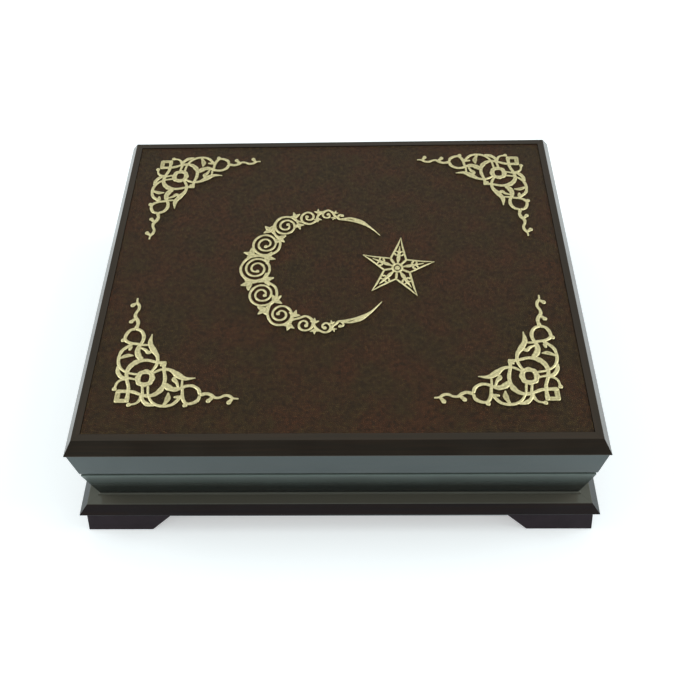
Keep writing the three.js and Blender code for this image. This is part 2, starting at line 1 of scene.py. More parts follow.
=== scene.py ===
# A quran box: a low book box of dark lacquered wood with a leather panel let into the lid, gilt
# openwork mounts on the leather, bracket feet, velvet linings and two brass stop hinges.
# Lengths are in metres, +Z is up, the front faces -Y, and the origin is on the ground.
import math

import bpy
from bpy.props import FloatProperty, FloatVectorProperty, PointerProperty
from mathutils import Matrix, Vector, noise


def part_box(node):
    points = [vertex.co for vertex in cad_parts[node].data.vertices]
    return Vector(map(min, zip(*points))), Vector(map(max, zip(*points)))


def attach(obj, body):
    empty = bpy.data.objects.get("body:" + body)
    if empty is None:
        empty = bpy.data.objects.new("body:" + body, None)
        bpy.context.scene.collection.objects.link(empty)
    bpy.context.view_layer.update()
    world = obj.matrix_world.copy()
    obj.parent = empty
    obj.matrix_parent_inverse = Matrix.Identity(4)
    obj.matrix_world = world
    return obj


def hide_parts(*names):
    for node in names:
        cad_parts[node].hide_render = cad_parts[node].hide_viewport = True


bl_info = {
    "name": "Quran Box",
    "version": (1, 0, 0),
    "blender": (4, 5, 0),
    "location": "View3D > Sidebar > Quran Box",
    "description": "Finishes and detail of a lacquered quran box with gilt mounts",
    "category": "Add Mesh",
}

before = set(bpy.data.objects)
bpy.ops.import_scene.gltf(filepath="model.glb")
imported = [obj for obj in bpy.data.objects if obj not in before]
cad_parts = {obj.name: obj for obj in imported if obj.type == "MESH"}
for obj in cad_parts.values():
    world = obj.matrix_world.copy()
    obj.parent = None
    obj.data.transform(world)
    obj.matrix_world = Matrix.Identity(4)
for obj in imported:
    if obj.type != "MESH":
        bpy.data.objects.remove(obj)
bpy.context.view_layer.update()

MM = 0.001
QUARTER = math.pi / 2

# Steps round a rounded corner of an outline, and between two points of a drawn line
ROUNDING_STEPS = 5
DRAWN_STEPS = 14

# Loose fit between separate parts, and how far the mounts press into the leather
CLEARANCE = 0.3 * MM
MOUNT_SUNK = 0.1 * MM

# The castings are a little fatter than their drawing, and their strands swell unevenly along
# waves of this length
CAST_WIDTH = 1.08
CAST_UNEVENNESS = 0.2
CAST_WAVE = 2.4 * MM

# Painted reflection colour: the shine of the lacquer is tinted warm on the frame, cool on the walls
# and neutral on the plinth
PAINTED_REFLECTION_TINTS = {
    "frame": (1, 0.92, 0.74, 1),
    "walls": (0.5, 0.97, 1, 1),
    "plinth": (0.7, 1, 1, 1),
}

# The camera, fitted to the photograph
CAMERA_PLACE = (0.014225, -0.432114, 0.5819)
CAMERA_PITCH = 0.911
CAMERA_YAW = -0.037
CAMERA_ROLL = -0.036
CAMERA_LENS = 46.58

# The lamps: place and width of each, and the point that both aim at
KEY_PLACE = (-1.5, 0.1, 1.5)
KEY_WIDTH = 0.9
FILL_PLACE = (1.5, 0, 1.5)
FILL_WIDTH = 1.1
LAMP_AIM = (0, 0, 0.05)
FLOOR_REACH = 6.0

# The faces of the well, from which every rail is measured outward
WELL_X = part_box("base_wall_right")[0].x
WELL_Y = -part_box("base_wall_front")[1].y

# The four sides, each drawn as the front and turned into place: name, turn, half length, reach
SIDES = (
    ("front", 0, WELL_X, WELL_Y),
    ("right", QUARTER, WELL_Y, WELL_X),
    ("back", math.pi, WELL_X, WELL_Y),
    ("left", -QUARTER, WELL_Y, WELL_X),
)


def levels(node):
    """Lowest and highest height of a node of the frame."""
    low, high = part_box(node)
    return low.z, high.z


def outs(node):
    """Least and greatest distance of a front node outside the face of the well."""
    low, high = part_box(node)
    return -high.y - WELL_Y, -low.y - WELL_Y


def linear(code):
    """A hex sRGB colour as linear red, green and blue."""
    parts = [int(code[i:i + 2], 16) / 255 for i in (0, 2, 4)]
    return [p / 12.92 if p <= 0.04045 else ((p + 0.055) / 1.055) ** 2.4 for p in parts]


def length(name, description, value):
    """A length in the sidebar, given in millimetres."""
    return FloatProperty(name=name, description=description, default=value * MM,
                         min=0, unit="LENGTH", precision=5)


def colour(name, description, code):
    """A colour in the sidebar, given as a hex sRGB value."""
    return FloatVectorProperty(name=name, description=description, default=linear(code),
                               size=3, min=0, max=1, subtype="COLOR")


def share(name, description, value):
    """A plain number between nought and one in the sidebar."""
    return FloatProperty(name=name, description=description, default=value, min=0, max=1,
                         subtype="FACTOR")


def number(name, description, value):
    """A plain number in the sidebar."""
    return FloatProperty(name=name, description=description, default=value, min=0)


def degrees(name, description, value):
    """An angle in the sidebar, given in degrees."""
    return FloatProperty(name=name, description=description, default=math.radians(value),
                         subtype="ANGLE")


def watts(name, description, value):
    """The power of a lamp in the sidebar."""
    return FloatProperty(name=name, description=description, default=value, min=0, unit="POWER")


def spot(name, description, value):
    """A coordinate in the sidebar, given in millimetres."""
    return FloatProperty(name=name, description=description, default=value * MM,
                         unit="LENGTH", precision=5)


class BoxSizes(bpy.types.PropertyGroup):
    """Sizes of the visible detail."""

    mitre_gap: length("Mitre Gap", "Half the joint between two mitred rails", 0.04)
    edge_radius: length("Edge Radius", "Rounding of the lacquered edges", 0.45)
    foot_edge: length("Foot Edge", "Rounding of the edges of the feet", 0.5)
    lip_height: length("Lip Height", "Upright edge under the bevel of the lid", 0.8)
    joint_edge: length("Joint Edge", "Rounding of the lower edge of the lid walls", 2.6)
    bevel_width: length("Bevel Width", "Width of the bevel round the lid", 6)
    bead_radius: length("Bead Radius", "Quarter round between ledge and wall", 1.4)
    ledge_width: length("Ledge Width", "Flat step round the foot of the walls", 8.1)
    ledge_edge: length("Ledge Edge", "Rounding of the edge of the ledge", 0.9)
    plinth_bevel: length("Plinth Bevel", "Lean of the bevel of the plinth", 6.2)
    apron_setback: length("Apron Setback", "Strip under the plinth to its lower edge", 0.4)
    apron_overlap: length("Apron Overlap", "How far the strip passes in front of a foot", 5)
    apron_thickness: length("Apron Thickness", "Thickness of the strip under the plinth", 3)
    foot_splay: length("Foot Splay", "How far a foot leans outward to the ground", 3)
    foot_thickness: length("Foot Thickness", "Thickness of the boards of the feet", 9)
    foot_length: length("Foot Length", "Length of a foot on the ground", 46.5)
    foot_cut: length("Foot Cut", "Run of the sloping inner end of a foot", 21.5)
    corner_side_margin: length("Side Margin", "Corner mounts to the side bevels", 19.4)
    corner_front_margin: length("Front Margin", "Front corner mounts to the bevel", 24.7)
    corner_back_margin: length("Back Margin", "Back corner mounts to the bevel", 16.6)
    mount_depth: number("Mount Depth", "How much longer the mounts are from front to back", 1.1)
    moon_x: spot("Crescent X", "Centre of the crescent from left to right", -16)
    moon_y: spot("Crescent Y", "Centre of the crescent from front to back", 2.4)
    moon_radius: length("Crescent Radius", "Outer radius of the crescent", 56.5)
    moon_hollow: share("Crescent Hollow", "Radius of its hollow as a share of its own", 0.799)
    moon_offset: share("Crescent Offset", "Offset of its hollow as a share of its radius", 0.249)
    star_x: spot("Star X", "Centre of the star from left to right", 44)
    star_y: spot("Star Y", "Centre of the star from front to back", 2)
    star_radius: length("Star Radius", "Centre of the star to its points", 28.2)
    star_turn: degrees("Star Turn", "Turn of the star clockwise", 7.5)
    star_border: length("Star Border", "Border of the star", 1.5)
    scroll_stroke: length("Scroll Stroke", "Stroke of the scrolls", 1.9)
    vein_width: length("Vein Width", "Width from which a strand has a vein", 2.6)
    leather_grain: length("Leather Grain", "Width of a pebble of the leather", 1.1)
    leaf_thickness: length("Leaf Thickness", "Thickness of the hinge leaves", 1.2)
    knuckle_radius: length("Knuckle Radius", "Outer radius of the hinge knuckles", 2.6)
    wing_reach: length("Wing Reach", "Width of the stop wings of the leaves", 3.2)
    pin_radius: length("Pin Radius", "Radius of the hinge pins", 1.1)
    pin_head_radius: length("Pin Head Radius", "Radius of the heads of the pins", 1.8)
    pin_head_length: length("Pin Head Length", "Length of the heads of the pins", 1.2)
    screw_inset: length("Screw Inset", "Screws to the ends of a leaf", 7)
    screw_head: length("Screw Head", "Radius of the screw heads", 2.4)
    screw_shank: length("Screw Shank", "Radius of the screw shanks", 1.1)
    open_angle: degrees("Open Angle", "Opening of the lid", 100)


class BoxColours(bpy.types.PropertyGroup):
    """Colours of the finishes."""

    frame: colour("Frame", "Lacquered wood of the lid frame", "26211c")
    walls: colour("Walls", "Lacquered wood of the walls", "222422")
    plinth: colour("Plinth", "Lacquered wood of the plinth", "2e2829")
    # Painted light: a paler colour on the up-facing ledge of the plinth
    painted_ledge_light: colour("Painted Ledge Light", "Paler lacquer on the ledge of the plinth", "5e5c52")
    # Painted reflection: a paler colour on the upper part of the base walls
    painted_wall_reflection: colour("Painted Wall Reflection", "Paler lacquer high on the base walls", "626a63")
    lacquer_grain: colour("Lacquer Grain", "Wood grain under the lacquer", "3a2b20")
    foot: colour("Feet", "Satin stain of the feet", "342a30")
    leather_red: colour("Leather Red", "Reddish brown of the leather", "542c18")
    leather_olive: colour("Leather Olive", "Olive brown of the leather", "423218")
    # Painted shade in the valleys between the pebbles
    painted_pit_shade: colour("Painted Pit Shade", "Valleys between the pebbles", "160f0b")
    gilt: colour("Gilt", "Pale gilding of the mounts", "f1eab8")
    # Painted shade: darker gilding low on the mounts, toward the leather
    painted_gilt_shade: colour("Painted Gilt Shade", "Darker gilding low on the mounts", "7c7343")
    velvet: colour("Velvet", "Pile of the lining", "1d3b2a")
    velvet_sheen: colour("Velvet Sheen", "Pale rim of the pile", "8fb09a")
    brass: colour("Brass", "Hinges and screws", "b08d45")
    board: colour("Board", "Plain wood of the boards", "7a5738")
    board_grain: colour("Board Grain", "Darker grain of the boards", "553820")


class BoxLook(bpy.types.PropertyGroup):
    """Light and background."""

    floor: colour("Floor", "Pale floor", "e6f1f4")
    floor_glow: share("Floor Glow", "What lifts the floor to white where it is seen", 0.43)
    horizon: share("Horizon", "Brightness of the room near the ground", 1.0)
    ceiling: share("Ceiling", "Brightness of the room overhead", 0.66)
    dark_side: share("Dark Side", "Share of that light low down in front of the box", 0.1)
    key_power: watts("Key Power", "Lamp above the left side", 8.5)
    fill_power: watts("Fill Power", "Lamp above the right side", 12)


def add(tree, kind, inputs=None, **settings):
    """Adds a node with its settings, and links or sets its inputs."""
    node = tree.nodes.new(kind)
    for name, value in settings.items():
        setattr(node, name, value)
    for socket, value in (inputs or {}).items():
        if isinstance(value, bpy.types.NodeSocket):
            tree.links.new(value, node.inputs[socket])
        else:
            node.inputs[socket].default_value = value
    return node


def maths(tree, operation, first, second):
    """Two values taken together."""
    return add(tree, "ShaderNodeMath", {0: first, 1: second}, operation=operation).outputs[0]


def ramp(tree, value, start, end, low=0, high=1, kind="LINEAR"):
    """A value brought from the range between start and end to that between low and high."""
    return add(tree, "ShaderNodeMapRange",
               {"Value": value, "From Min": start, "From Max": end, "To Min": low, "To Max": high},
               interpolation_type=kind).outputs[0]


def patches(tree, place, width, detail, **inputs):
    """Noise in patches about as wide as the width."""
    return add(tree, "ShaderNodeTexNoise",
               {"Vector": place, "Scale": 1 / width, "Detail": detail, **inputs}).outputs[0]


def stretched(tree, place, widths):
    """A place measured in a width of its own along each axis."""
    return add(tree, "ShaderNodeMapping",
               {"Vector": place, "Scale": [1 / width for width in widths]}).outputs[0]


def blend(tree, part, first, second):
    """A colour between two, each a plain colour or the result of a node."""
    ends = [end if isinstance(end, bpy.types.NodeSocket) else (*end, 1) for end in (first, second)]
    return add(tree, "ShaderNodeMix", {"Factor": part, "A": ends[0], "B": ends[1]},
               data_type="RGBA").outputs[2]


def scaled(tree, vector, value):
    """A colour or vector multiplied by a value."""
    return add(tree, "ShaderNodeVectorMath", {0: vector, "Scale": value},
               operation="SCALE").outputs[0]


def relief(tree, height, depth, strength=1):
    """A surface with hollows of that depth where the height is low."""
    return add(tree, "ShaderNodeBump",
               {"Height": height, "Strength": strength, "Distance": depth}).outputs[0]


# Making pieces


def new_piece(name, points, faces, edges=()):
    """A mesh object at the origin."""
    mesh = bpy.data.meshes.new(name)
    mesh.from_pydata(points, edges, faces)
    mesh.update()
    piece = bpy.data.objects.new(name, mesh)
    bpy.context.scene.collection.objects.link(piece)
    return piece


def settle(piece):
    """Turns what the modifiers make of a piece into its plain mesh."""
    graph = bpy.context.evaluated_depsgraph_get()
    mesh = bpy.data.meshes.new_from_object(piece.evaluated_get(graph), depsgraph=graph)
    piece.modifiers.clear()
    piece.data = mesh
    return piece


def grow(piece, tree, values):
    """Runs a node group on a piece with these inputs, and keeps the mesh that it makes."""
    modifier = piece.modifiers.new(tree.name, "NODES")
    modifier.node_group = tree
    for item in tree.interface.items_tree:
        if item.item_type == "SOCKET" and item.name in values:
            modifier[item.identifier] = values[item.name]
    return settle(piece)


def combine(piece, others, operation):
    """Joins other solids to a piece, or cuts them out of it, and removes them."""
    for other in others:
        modifier = piece.modifiers.new("Combine", "BOOLEAN")
        modifier.operation = operation
        modifier.solver = "EXACT"
        modifier.object = other
    settle(piece)
    for other in others:
        bpy.data.objects.remove(other)


def shade(piece, angle=35):
    """Smooth shading that keeps flat faces flat and edges over the angle sharp."""
    piece.data.shade_smooth()
    piece.data.set_sharp_from_angle(angle=math.radians(angle))
    weights = piece.modifiers.new("Flat faces", "WEIGHTED_NORMAL")
    weights.keep_sharp = True
    return settle(piece)


def hand_over(piece, body, slot, material, *nodes):
    """Gives a finished piece its material and its body, and hides the nodes that it stands for. The
    slot is not used.
    """
    piece.data.materials.clear()
    piece.data.materials.append(material)
    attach(piece, body)
    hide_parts(*nodes)


def rounded(corners):
    """An outline through corners given as x, y and radius, each rounded by its radius."""
    points = []
    for i, (x, y, radius) in enumerate(corners):
        here = Vector((x, y))
        if radius == 0:
            points.append(here)
            continue
        back = (Vector(corners[i - 1][:2]) - here).normalized()
        ahead = (Vector(corners[(i + 1) % len(corners)][:2]) - here).normalized()
        half = back.angle(ahead) / 2
        centre = here + (back + ahead).normalized() * (radius / math.sin(half))
        start = here + back * (radius / math.tan(half)) - centre
        end = here + ahead * (radius / math.tan(half)) - centre
        sweep = -start.angle_signed(end)
        for k in range(ROUNDING_STEPS + 1):
            arm = start.copy()
            arm.rotate(Matrix.Rotation(sweep * k / ROUNDING_STEPS, 2))
            points.append(centre + arm)
    return points


def box_solid(name, low, high):
    """A plain block between two corners, used to cut."""
    xs, ys, zs = zip(low, high)
    corners = [(x, y, z) for x in xs for y in ys for z in zs]
    faces = [(0, 1, 3, 2), (4, 6, 7, 5), (0, 4, 5, 1), (2, 3, 7, 6), (0, 2, 6, 4), (1, 5, 7, 3)]
    return new_piece(name, corners, faces)


def turned_solid(name, profile, sides, turn=None):
    """A solid of revolution about Z from a profile of radius and height, closed on the axis."""
    points = [(0, 0, profile[0][1])]
    for radius, height in profile:
        for k in range(sides):
            angle = 2 * math.pi * k / sides
            points.append((radius * math.cos(angle), radius * math.sin(angle), height))
    points.append((0, 0, profile[-1][1]))
    faces = []
    for k in range(sides):
        after = (k + 1) % sides
        faces.append((0, 1 + after, 1 + k))
        for ring in range(len(profile) - 1):
            base = 1 + ring * sides
            faces.append((base + k, base + after, base + sides + after, base + sides + k))
        top = 1 + (len(profile) - 1) * sides
        faces.append((top + k, top + after, len(points) - 1))
    piece = new_piece(name, points, faces)
    if turn is not None:
        piece.data.transform(turn)
    return piece


# Length of the gentle waves in a glued covering, and steps round its rolled edge
COVER_WAVE = 22 * MM
ROLL_STEPS = 4


def covered_board(name, low, high, roll, step, unevenness, down=False):
    """A closed board with a glued covering that rolls over its upper edges and waves a little."""
    def stations(start, end):
        edge = [roll * (1 - math.cos(k * QUARTER / ROLL_STEPS)) for k in range(ROLL_STEPS)]
        inner = end - start - 2 * roll
        cells = max(2, round(inner / step))
        middle = [roll + inner * k / cells for k in range(cells + 1)]
        tail = [end - start - e for e in reversed(edge)]
        return [start + offset for offset in edge + middle + tail]

    xs = stations(low[0], high[0])
    ys = stations(low[1], high[1])
    centre = [(low[i] + high[i]) / 2 for i in range(2)]
    half = [(high[i] - low[i]) / 2 for i in range(2)]
    points = []
    for y in ys:
        for x in xs:
            inside = min(half[0] - abs(x - centre[0]), half[1] - abs(y - centre[1]))
            fall = roll - math.sqrt(max(0, roll ** 2 - max(0, roll - inside) ** 2))
            wave = unevenness * (1 + noise.noise(Vector((x, y, 0)) / COVER_WAVE))
            points.append((x, y, high[2] - fall - min(wave, inside)))
    points += [(x, y, low[2]) for x, y, _ in points]
    across, deep = len(xs), len(ys)
    under = across * deep
    faces = []
    for j in range(deep - 1):
        for i in range(across - 1):
            a = j * across + i
            face = (a, a + 1, a + across + 1, a + across)
            faces.append(face)
            faces.append(tuple(under + k for k in reversed(face)))
    rim = list(range(across))
    rim += [j * across + across - 1 for j in range(1, deep)]
    rim += [(deep - 1) * across + i for i in range(across - 2, -1, -1)]
    rim += [j * across for j in range(deep - 2, 0, -1)]
    for a, b in zip(rim, rim[1:] + rim[:1]):
        faces.append((b, a, under + a, under + b))
    if down:
        points = [(x, y, low[2] + high[2] - z) for x, y, z in points]
        faces = [tuple(reversed(face)) for face in faces]
    return new_piece(name, points, faces)


# Node groups for what follows a rule or repeats


def node_group(name, inputs):
    """An empty geometry node group with these named inputs."""
    tree = bpy.data.node_groups.new(name, "GeometryNodeTree")
    tree.interface.new_socket("Geometry", in_out="INPUT", socket_type="NodeSocketGeometry")
    for label, kind in inputs:
        tree.interface.new_socket(label, in_out="INPUT", socket_type="NodeSocket" + kind)
    tree.interface.new_socket("Geometry", in_out="OUTPUT", socket_type="NodeSocketGeometry")
    return tree


def close_group(tree, geometry, material):
    """Ends a node group in realized, smooth faces with their material."""
    real = add(tree, "GeometryNodeRealizeInstances", {"Geometry": geometry})
    smooth = add(tree, "GeometryNodeSetShadeSmooth", {"Geometry": real.outputs[0]})
    painted = add(tree, "GeometryNodeSetMaterial",
                  {"Geometry": smooth.outputs[0], "Material": material})
    add(tree, "NodeGroupOutput", {"Geometry": painted.outputs[0]})
    return tree


def rail_group():
    """Runs a section of outward distance and height along one side, with mitred ends."""
    tree = node_group("Mitred rail", [("Half Length", "Float"), ("Reach", "Float"),
                                      ("Mitre Gap", "Float"), ("Material", "Material")])
    given = add(tree, "NodeGroupInput").outputs
    section = add(tree, "GeometryNodeMeshToCurve", {"Mesh": given["Geometry"]})
    run = add(tree, "GeometryNodeCurvePrimitiveLine", {"Start": (-1, 0, 0), "End": (1, 0, 0)})
    sweep = add(tree, "GeometryNodeCurveToMesh",
                {"Curve": run.outputs[0], "Profile Curve": section.outputs[0], "Fill Caps": True})
    where = add(tree, "GeometryNodeInputPosition")
    swept = add(tree, "ShaderNodeSeparateXYZ", {0: where.outputs[0]}).outputs
    # The sweep lays outward distance along -Y and height along -Z
    end = maths(tree, "SUBTRACT", given["Half Length"], swept["Y"])
    cut = maths(tree, "SUBTRACT", end, given["Mitre Gap"])
    target = add(tree, "ShaderNodeCombineXYZ",
                 {"X": maths(tree, "MULTIPLY", swept["X"], cut),
                  "Y": maths(tree, "SUBTRACT", swept["Y"], given["Reach"]),
                  "Z": maths(tree, "MULTIPLY", swept["Z"], -1)})
    placed = add(tree, "GeometryNodeSetPosition",
                 {"Geometry": sweep.outputs[0], "Position": target.outputs[0]})
    turned = add(tree, "GeometryNodeFlipFaces", {"Mesh": placed.outputs[0]})
    return close_group(tree, turned.outputs[0], given["Material"])


def strand_group():
    """Makes domed strands along centre lines that carry their half width and height."""
    tree = node_group("Domed strands", [("Ground", "Float"), ("Thickness", "Float"),
                                        ("Edge", "Float"), ("Vein", "Float"),
                                        ("Leaf Width", "Float"), ("Material", "Material")])
    given = add(tree, "NodeGroupInput").outputs
    width = add(tree, "GeometryNodeInputNamedAttribute", {"Name": "half_width"}).outputs[0]
    lift = add(tree, "GeometryNodeInputNamedAttribute", {"Name": "lift"}).outputs[0]
    line = add(tree, "GeometryNodeMeshToCurve", {"Mesh": given["Geometry"]})
    upright = add(tree, "GeometryNodeSetCurveNormal", {"Curve": line.outputs[0]}, mode="Z_UP")
    ring = add(tree, "GeometryNodeCurvePrimitiveCircle", {"Resolution": 20, "Radius": 1})
    sweep = add(tree, "GeometryNodeCurveToMesh",
                {"Curve": upright.outputs[0], "Profile Curve": ring.outputs[0],
                 "Scale": width, "Fill Caps": True})
    where = add(tree, "GeometryNodeInputPosition")
    swept = add(tree, "ShaderNodeSeparateXYZ", {0: where.outputs[0]}).outputs
    up = maths(tree, "DIVIDE", maths(tree, "SUBTRACT", swept["Z"], given["Ground"]), width)
    # From the foot of the edge to the crown of the dome
    dome = ramp(tree, up, 0, 1, given["Edge"])
    body = maths(tree, "MULTIPLY", dome, maths(tree, "GREATER_THAN", up, 0.01))
    # A vein sinks along the middle of the wide leaves
    crest = ramp(tree, up, 0.9, 1)
    wide = maths(tree, "DIVIDE", width, given["Leaf Width"])
    vein = maths(tree, "MULTIPLY", crest, ramp(tree, wide, 1, 1.4, kind="SMOOTHSTEP"))
    form = maths(tree, "SUBTRACT", body, maths(tree, "MULTIPLY", vein, given["Vein"]))
    height = maths(tree, "MULTIPLY", form, maths(tree, "MULTIPLY", given["Thickness"], lift))
    target = add(tree, "ShaderNodeCombineXYZ", {"X": swept["X"], "Y": swept["Y"],
                                                "Z": maths(tree, "ADD", height, given["Ground"])})
    placed = add(tree, "GeometryNodeSetPosition",
                 {"Geometry": sweep.outputs[0], "Position": target.outputs[0]})
    return close_group(tree, placed.outputs[0], given["Material"])


def screw_group():
    """Sets a screw on each point, with its slot turned at random."""
    tree = node_group("Set screws", [("Screw", "Object"), ("Flip", "Float"), ("Seed", "Int"),
                                     ("Material", "Material")])
    given = add(tree, "NodeGroupInput").outputs
    screw = add(tree, "GeometryNodeObjectInfo", {"Object": given["Screw"]})
    spin = add(tree, "FunctionNodeRandomValue", {"Seed": given["Seed"]})
    spin.inputs[3].default_value = math.pi
    turn = add(tree, "ShaderNodeCombineXYZ", {"X": given["Flip"], "Z": spin.outputs[1]})
    rotation = add(tree, "FunctionNodeEulerToRotation", {"Euler": turn.outputs[0]})
    placed = add(tree, "GeometryNodeInstanceOnPoints",
                 {"Points": given["Geometry"], "Instance": screw.outputs["Geometry"],
                  "Rotation": rotation.outputs[0]})
    return close_group(tree, placed.outputs[0], given["Material"])


def group(name, build):
    """The node group of that name, built once."""
    return bpy.data.node_groups.get(name) or build()


# Finishes. Pattern scales are worked out from real widths in millimetres.


def new_material(name):
    """A material with an empty node tree, and the place on the object for its patterns."""
    made = bpy.data.materials.new(name)
    made.use_nodes = True
    made.node_tree.nodes.clear()
    place = add(made.node_tree, "ShaderNodeTexCoord").outputs["Object"]
    return made, made.node_tree, place


def close_material(made, inputs):
    """Ends a material in one surface with these inputs."""
    shader = add(made.node_tree, "ShaderNodeBsdfPrincipled", inputs)
    add(made.node_tree, "ShaderNodeOutputMaterial", {"Surface": shader.outputs[0]})
    return made


def lacquered_beech(colours, member, along_y):
    """Beech under rubbed lacquer, nearly black, with a hint of grain along the rail; painted light
    makes it paler on the ledge and high on the base walls.
    """
    made, tree, place = new_material("Lacquered beech " + member + (" deep" if along_y else " wide"))
    across, run = 2.2 * MM, 60 * MM
    widths = (across, run, across) if along_y else (run, across, across)
    grain = patches(tree, stretched(tree, place, widths), 1, 4, Roughness=0.6)
    seen = ramp(tree, grain, 0.42, 0.75, 0, 0.4)
    stain = blend(tree, seen, getattr(colours, member), colours.lacquer_grain)
    # Painted light: the ledge of the plinth and the upper part of the base walls get a paler colour,
    # standing in for the light and reflection they catch
    height = add(tree, "ShaderNodeSeparateXYZ", {0: place}).outputs["Z"]
    start, full, end = painted_light_levels(member)
    painted_light_share = maths(tree, "MULTIPLY", ramp(tree, height, start, full),
                 maths(tree, "LESS_THAN", height, end))
    # Painted light on the ledge of the plinth, and painted reflection high on the base walls
    tone = colours.painted_ledge_light if member == "plinth" else colours.painted_wall_reflection
    # Rubbing out leaves patches of slightly softer sheen about 35 mm across
    sheen = ramp(tree, patches(tree, place, 35 * MM, 3), 0.3, 0.7, 0.16, 0.24)
    # Sprayed lacquer flows out in waves about 2 mm long and a thousandth high
    flow = relief(tree, patches(tree, place, 2 * MM, 1), 0.0012 * MM)
    # The shine carries the painted reflection colour of its member
    return close_material(made, {"Base Color": blend(tree, painted_light_share, stain, tone),
                                 "Roughness": sheen, "IOR": 1.46,
                                 "Specular Tint": PAINTED_REFLECTION_TINTS[member], "Normal": flow})


def painted_light_levels(member):
    """Heights at which the painted paler tone on a member starts, is full and ends."""
    if member == "plinth":
        top = levels("plinth_front")[1]
        ledge = top - bpy.context.scene.box_sizes.bead_radius
        return ledge - 0.4 * MM, ledge - 0.1 * MM, top + 0.05 * MM
    foot, rim = levels("base_wall_front")
    return foot + 0.35 * (rim - foot), rim - 2 * MM, rim + 0.1 * MM


def satin_stain(colours):
    """Stained wood with a thin satin coat: dull purple brown with open pores."""
    made, tree, place = new_material("Satin stained beech")
    # The stain took unevenly, in patches about 14 mm across
    tone = ramp(tree, patches(tree, place, 14 * MM, 4), 0.3, 0.7, 0.82, 1.1)
    pores = relief(tree, patches(tree, place, 0.8 * MM, 2), 0.02 * MM)
    return close_material(made, {"Base Color": scaled(tree, colours.foot, tone),
                                 "Roughness": 0.5, "IOR": 1.5, "Specular IOR Level": 0.06,
                                 "Normal": pores})


def pebbled_leather(colours, grain):
    """Embossed bookbinding leather: rounded pebbles with painted shade in the valleys, in two uneven
    browns.
    """
    made, tree, place = new_material("Pebbled leather")
    warp = add(tree, "ShaderNodeTexNoise", {"Vector": place, "Scale": 1 / (3 * MM), "Detail": 2})
    shift = scaled(tree, warp.outputs["Color"], 0.8 * grain)
    bent = add(tree, "ShaderNodeVectorMath", {0: place, 1: shift}, operation="ADD")
    cells = add(tree, "ShaderNodeTexVoronoi",
                {"Vector": bent.outputs[0], "Scale": 1 / grain, "Randomness": 0.9},
                feature="DISTANCE_TO_EDGE", voronoi_dimensions="2D")
    pebble = ramp(tree, cells.outputs[0], 0, 0.42, kind="SMOOTHSTEP")
    # Stain that took unevenly, in specks about 3 mm across
    specks = patches(tree, place, 2.8 * MM, 3, Roughness=0.7)
    # Red and olive patches about 24 mm across, broken up by the specks
    broad = patches(tree, place, 24 * MM, 3, Roughness=0.6)
    mixed = ramp(tree, maths(tree, "ADD", broad, specks), 0.88, 1.12)
    hide = blend(tree, mixed, colours.leather_red, colours.leather_olive)
    stained = scaled(tree, hide, ramp(tree, specks, 0.34, 0.66, 0.2, 2))
    # Painted shade darkens the valleys between the pebbles
    return close_material(made, {"Base Color": blend(tree, pebble, colours.painted_pit_shade, stained),
                                 "Roughness": ramp(tree, pebble, 0, 1, 0.75, 0.5), "IOR": 1.45,
                                 "Specular IOR Level": 0.45, "Specular Tint": (1, 0.86, 0.6, 1),
                                 "Normal": relief(tree, pebble, 0.38 * MM)})


def gilt_casting(colours, ground, thickness):
    """Pale gilding on a cast mount: soft bright metal on the crests, and painted shade that darkens
    it down at the leather.
    """
    made, tree, place = new_material("Gilt casting")
    height = add(tree, "ShaderNodeSeparateXYZ", {0: place}).outputs["Z"]
    # Painted shade: the gilding darkens toward the leather, low between the strands
    out_of_painted_shade = ramp(tree, height, ground + 0.2 * thickness, ground + 0.85 * thickness,
                kind="SMOOTHSTEP")
    # Rubbing left brighter and duller patches about 1.6 mm across
    rubbed = ramp(tree, patches(tree, place, 1.6 * MM, 3), 0.3, 0.65, 0.62, 1)
    metal = blend(tree, maths(tree, "MULTIPLY", out_of_painted_shade, rubbed), colours.painted_gilt_shade, colours.gilt)
    # Sand of the mould, about a quarter of a millimetre
    sand = relief(tree, patches(tree, place, 0.25 * MM, 2), 0.012 * MM)
    return close_material(made, {"Base Color": metal, "Metallic": 1, "Roughness": 0.42,
                                 "Normal": sand})


def cotton_velvet(colours):
    """Short cotton velvet glued to card: dark face, pale rim of sheen, brushed patches of pile."""
    made, tree, place = new_material("Cotton velvet")
    nap = patches(tree, place, 18 * MM, 3)
    pile = patches(tree, place, 0.7 * MM, 2)
    tone = ramp(tree, maths(tree, "ADD", nap, pile), 0.7, 1.3, 0.6, 1.35)
    return close_material(made, {"Base Color": scaled(tree, colours.velvet, tone),
                                 "Roughness": 0.95, "Specular IOR Level": 0.1,
                                 "Sheen Weight": 0.5, "Sheen Roughness": 0.4,
                                 "Sheen Tint": (*colours.velvet_sheen, 1),
                                 "Normal": relief(tree, pile, 0.2 * MM, 0.6)})


def satin_brass(colours):
    """Rolled brass hinge stock, brushed along its length and a little tarnished."""
    made, tree, place = new_material("Satin brass")
    brushed = patches(tree, stretched(tree, place, (9 * MM, 0.15 * MM, 0.15 * MM)), 1, 3)
    tarnish = ramp(tree, patches(tree, place, 5 * MM, 4), 0.35, 0.7, 1.05, 0.6)
    return close_material(made, {"Base Color": scaled(tree, colours.brass, tarnish),
                                 "Metallic": 1, "Roughness": ramp(tree, brushed, 0, 1, 0.24, 0.46)})


def plain_board(colours):
    """Unfinished softwood board: pale bands of grain along X, dull and slightly rough."""
    made, tree, place = new_material("Plain board")
    grain = patches(tree, stretched(tree, place, (90 * MM, 5 * MM, 5 * MM)), 1, 5, Distortion=0.6)
    bands = ramp(tree, grain, 0.35, 0.65)
    return close_material(made, {"Base Color": blend(tree, bands, colours.board, colours.board_grain),
                                 "Roughness": 0.7, "IOR": 1.5,
                                 "Normal": relief(tree, grain, 0.1 * MM, 0.5)})


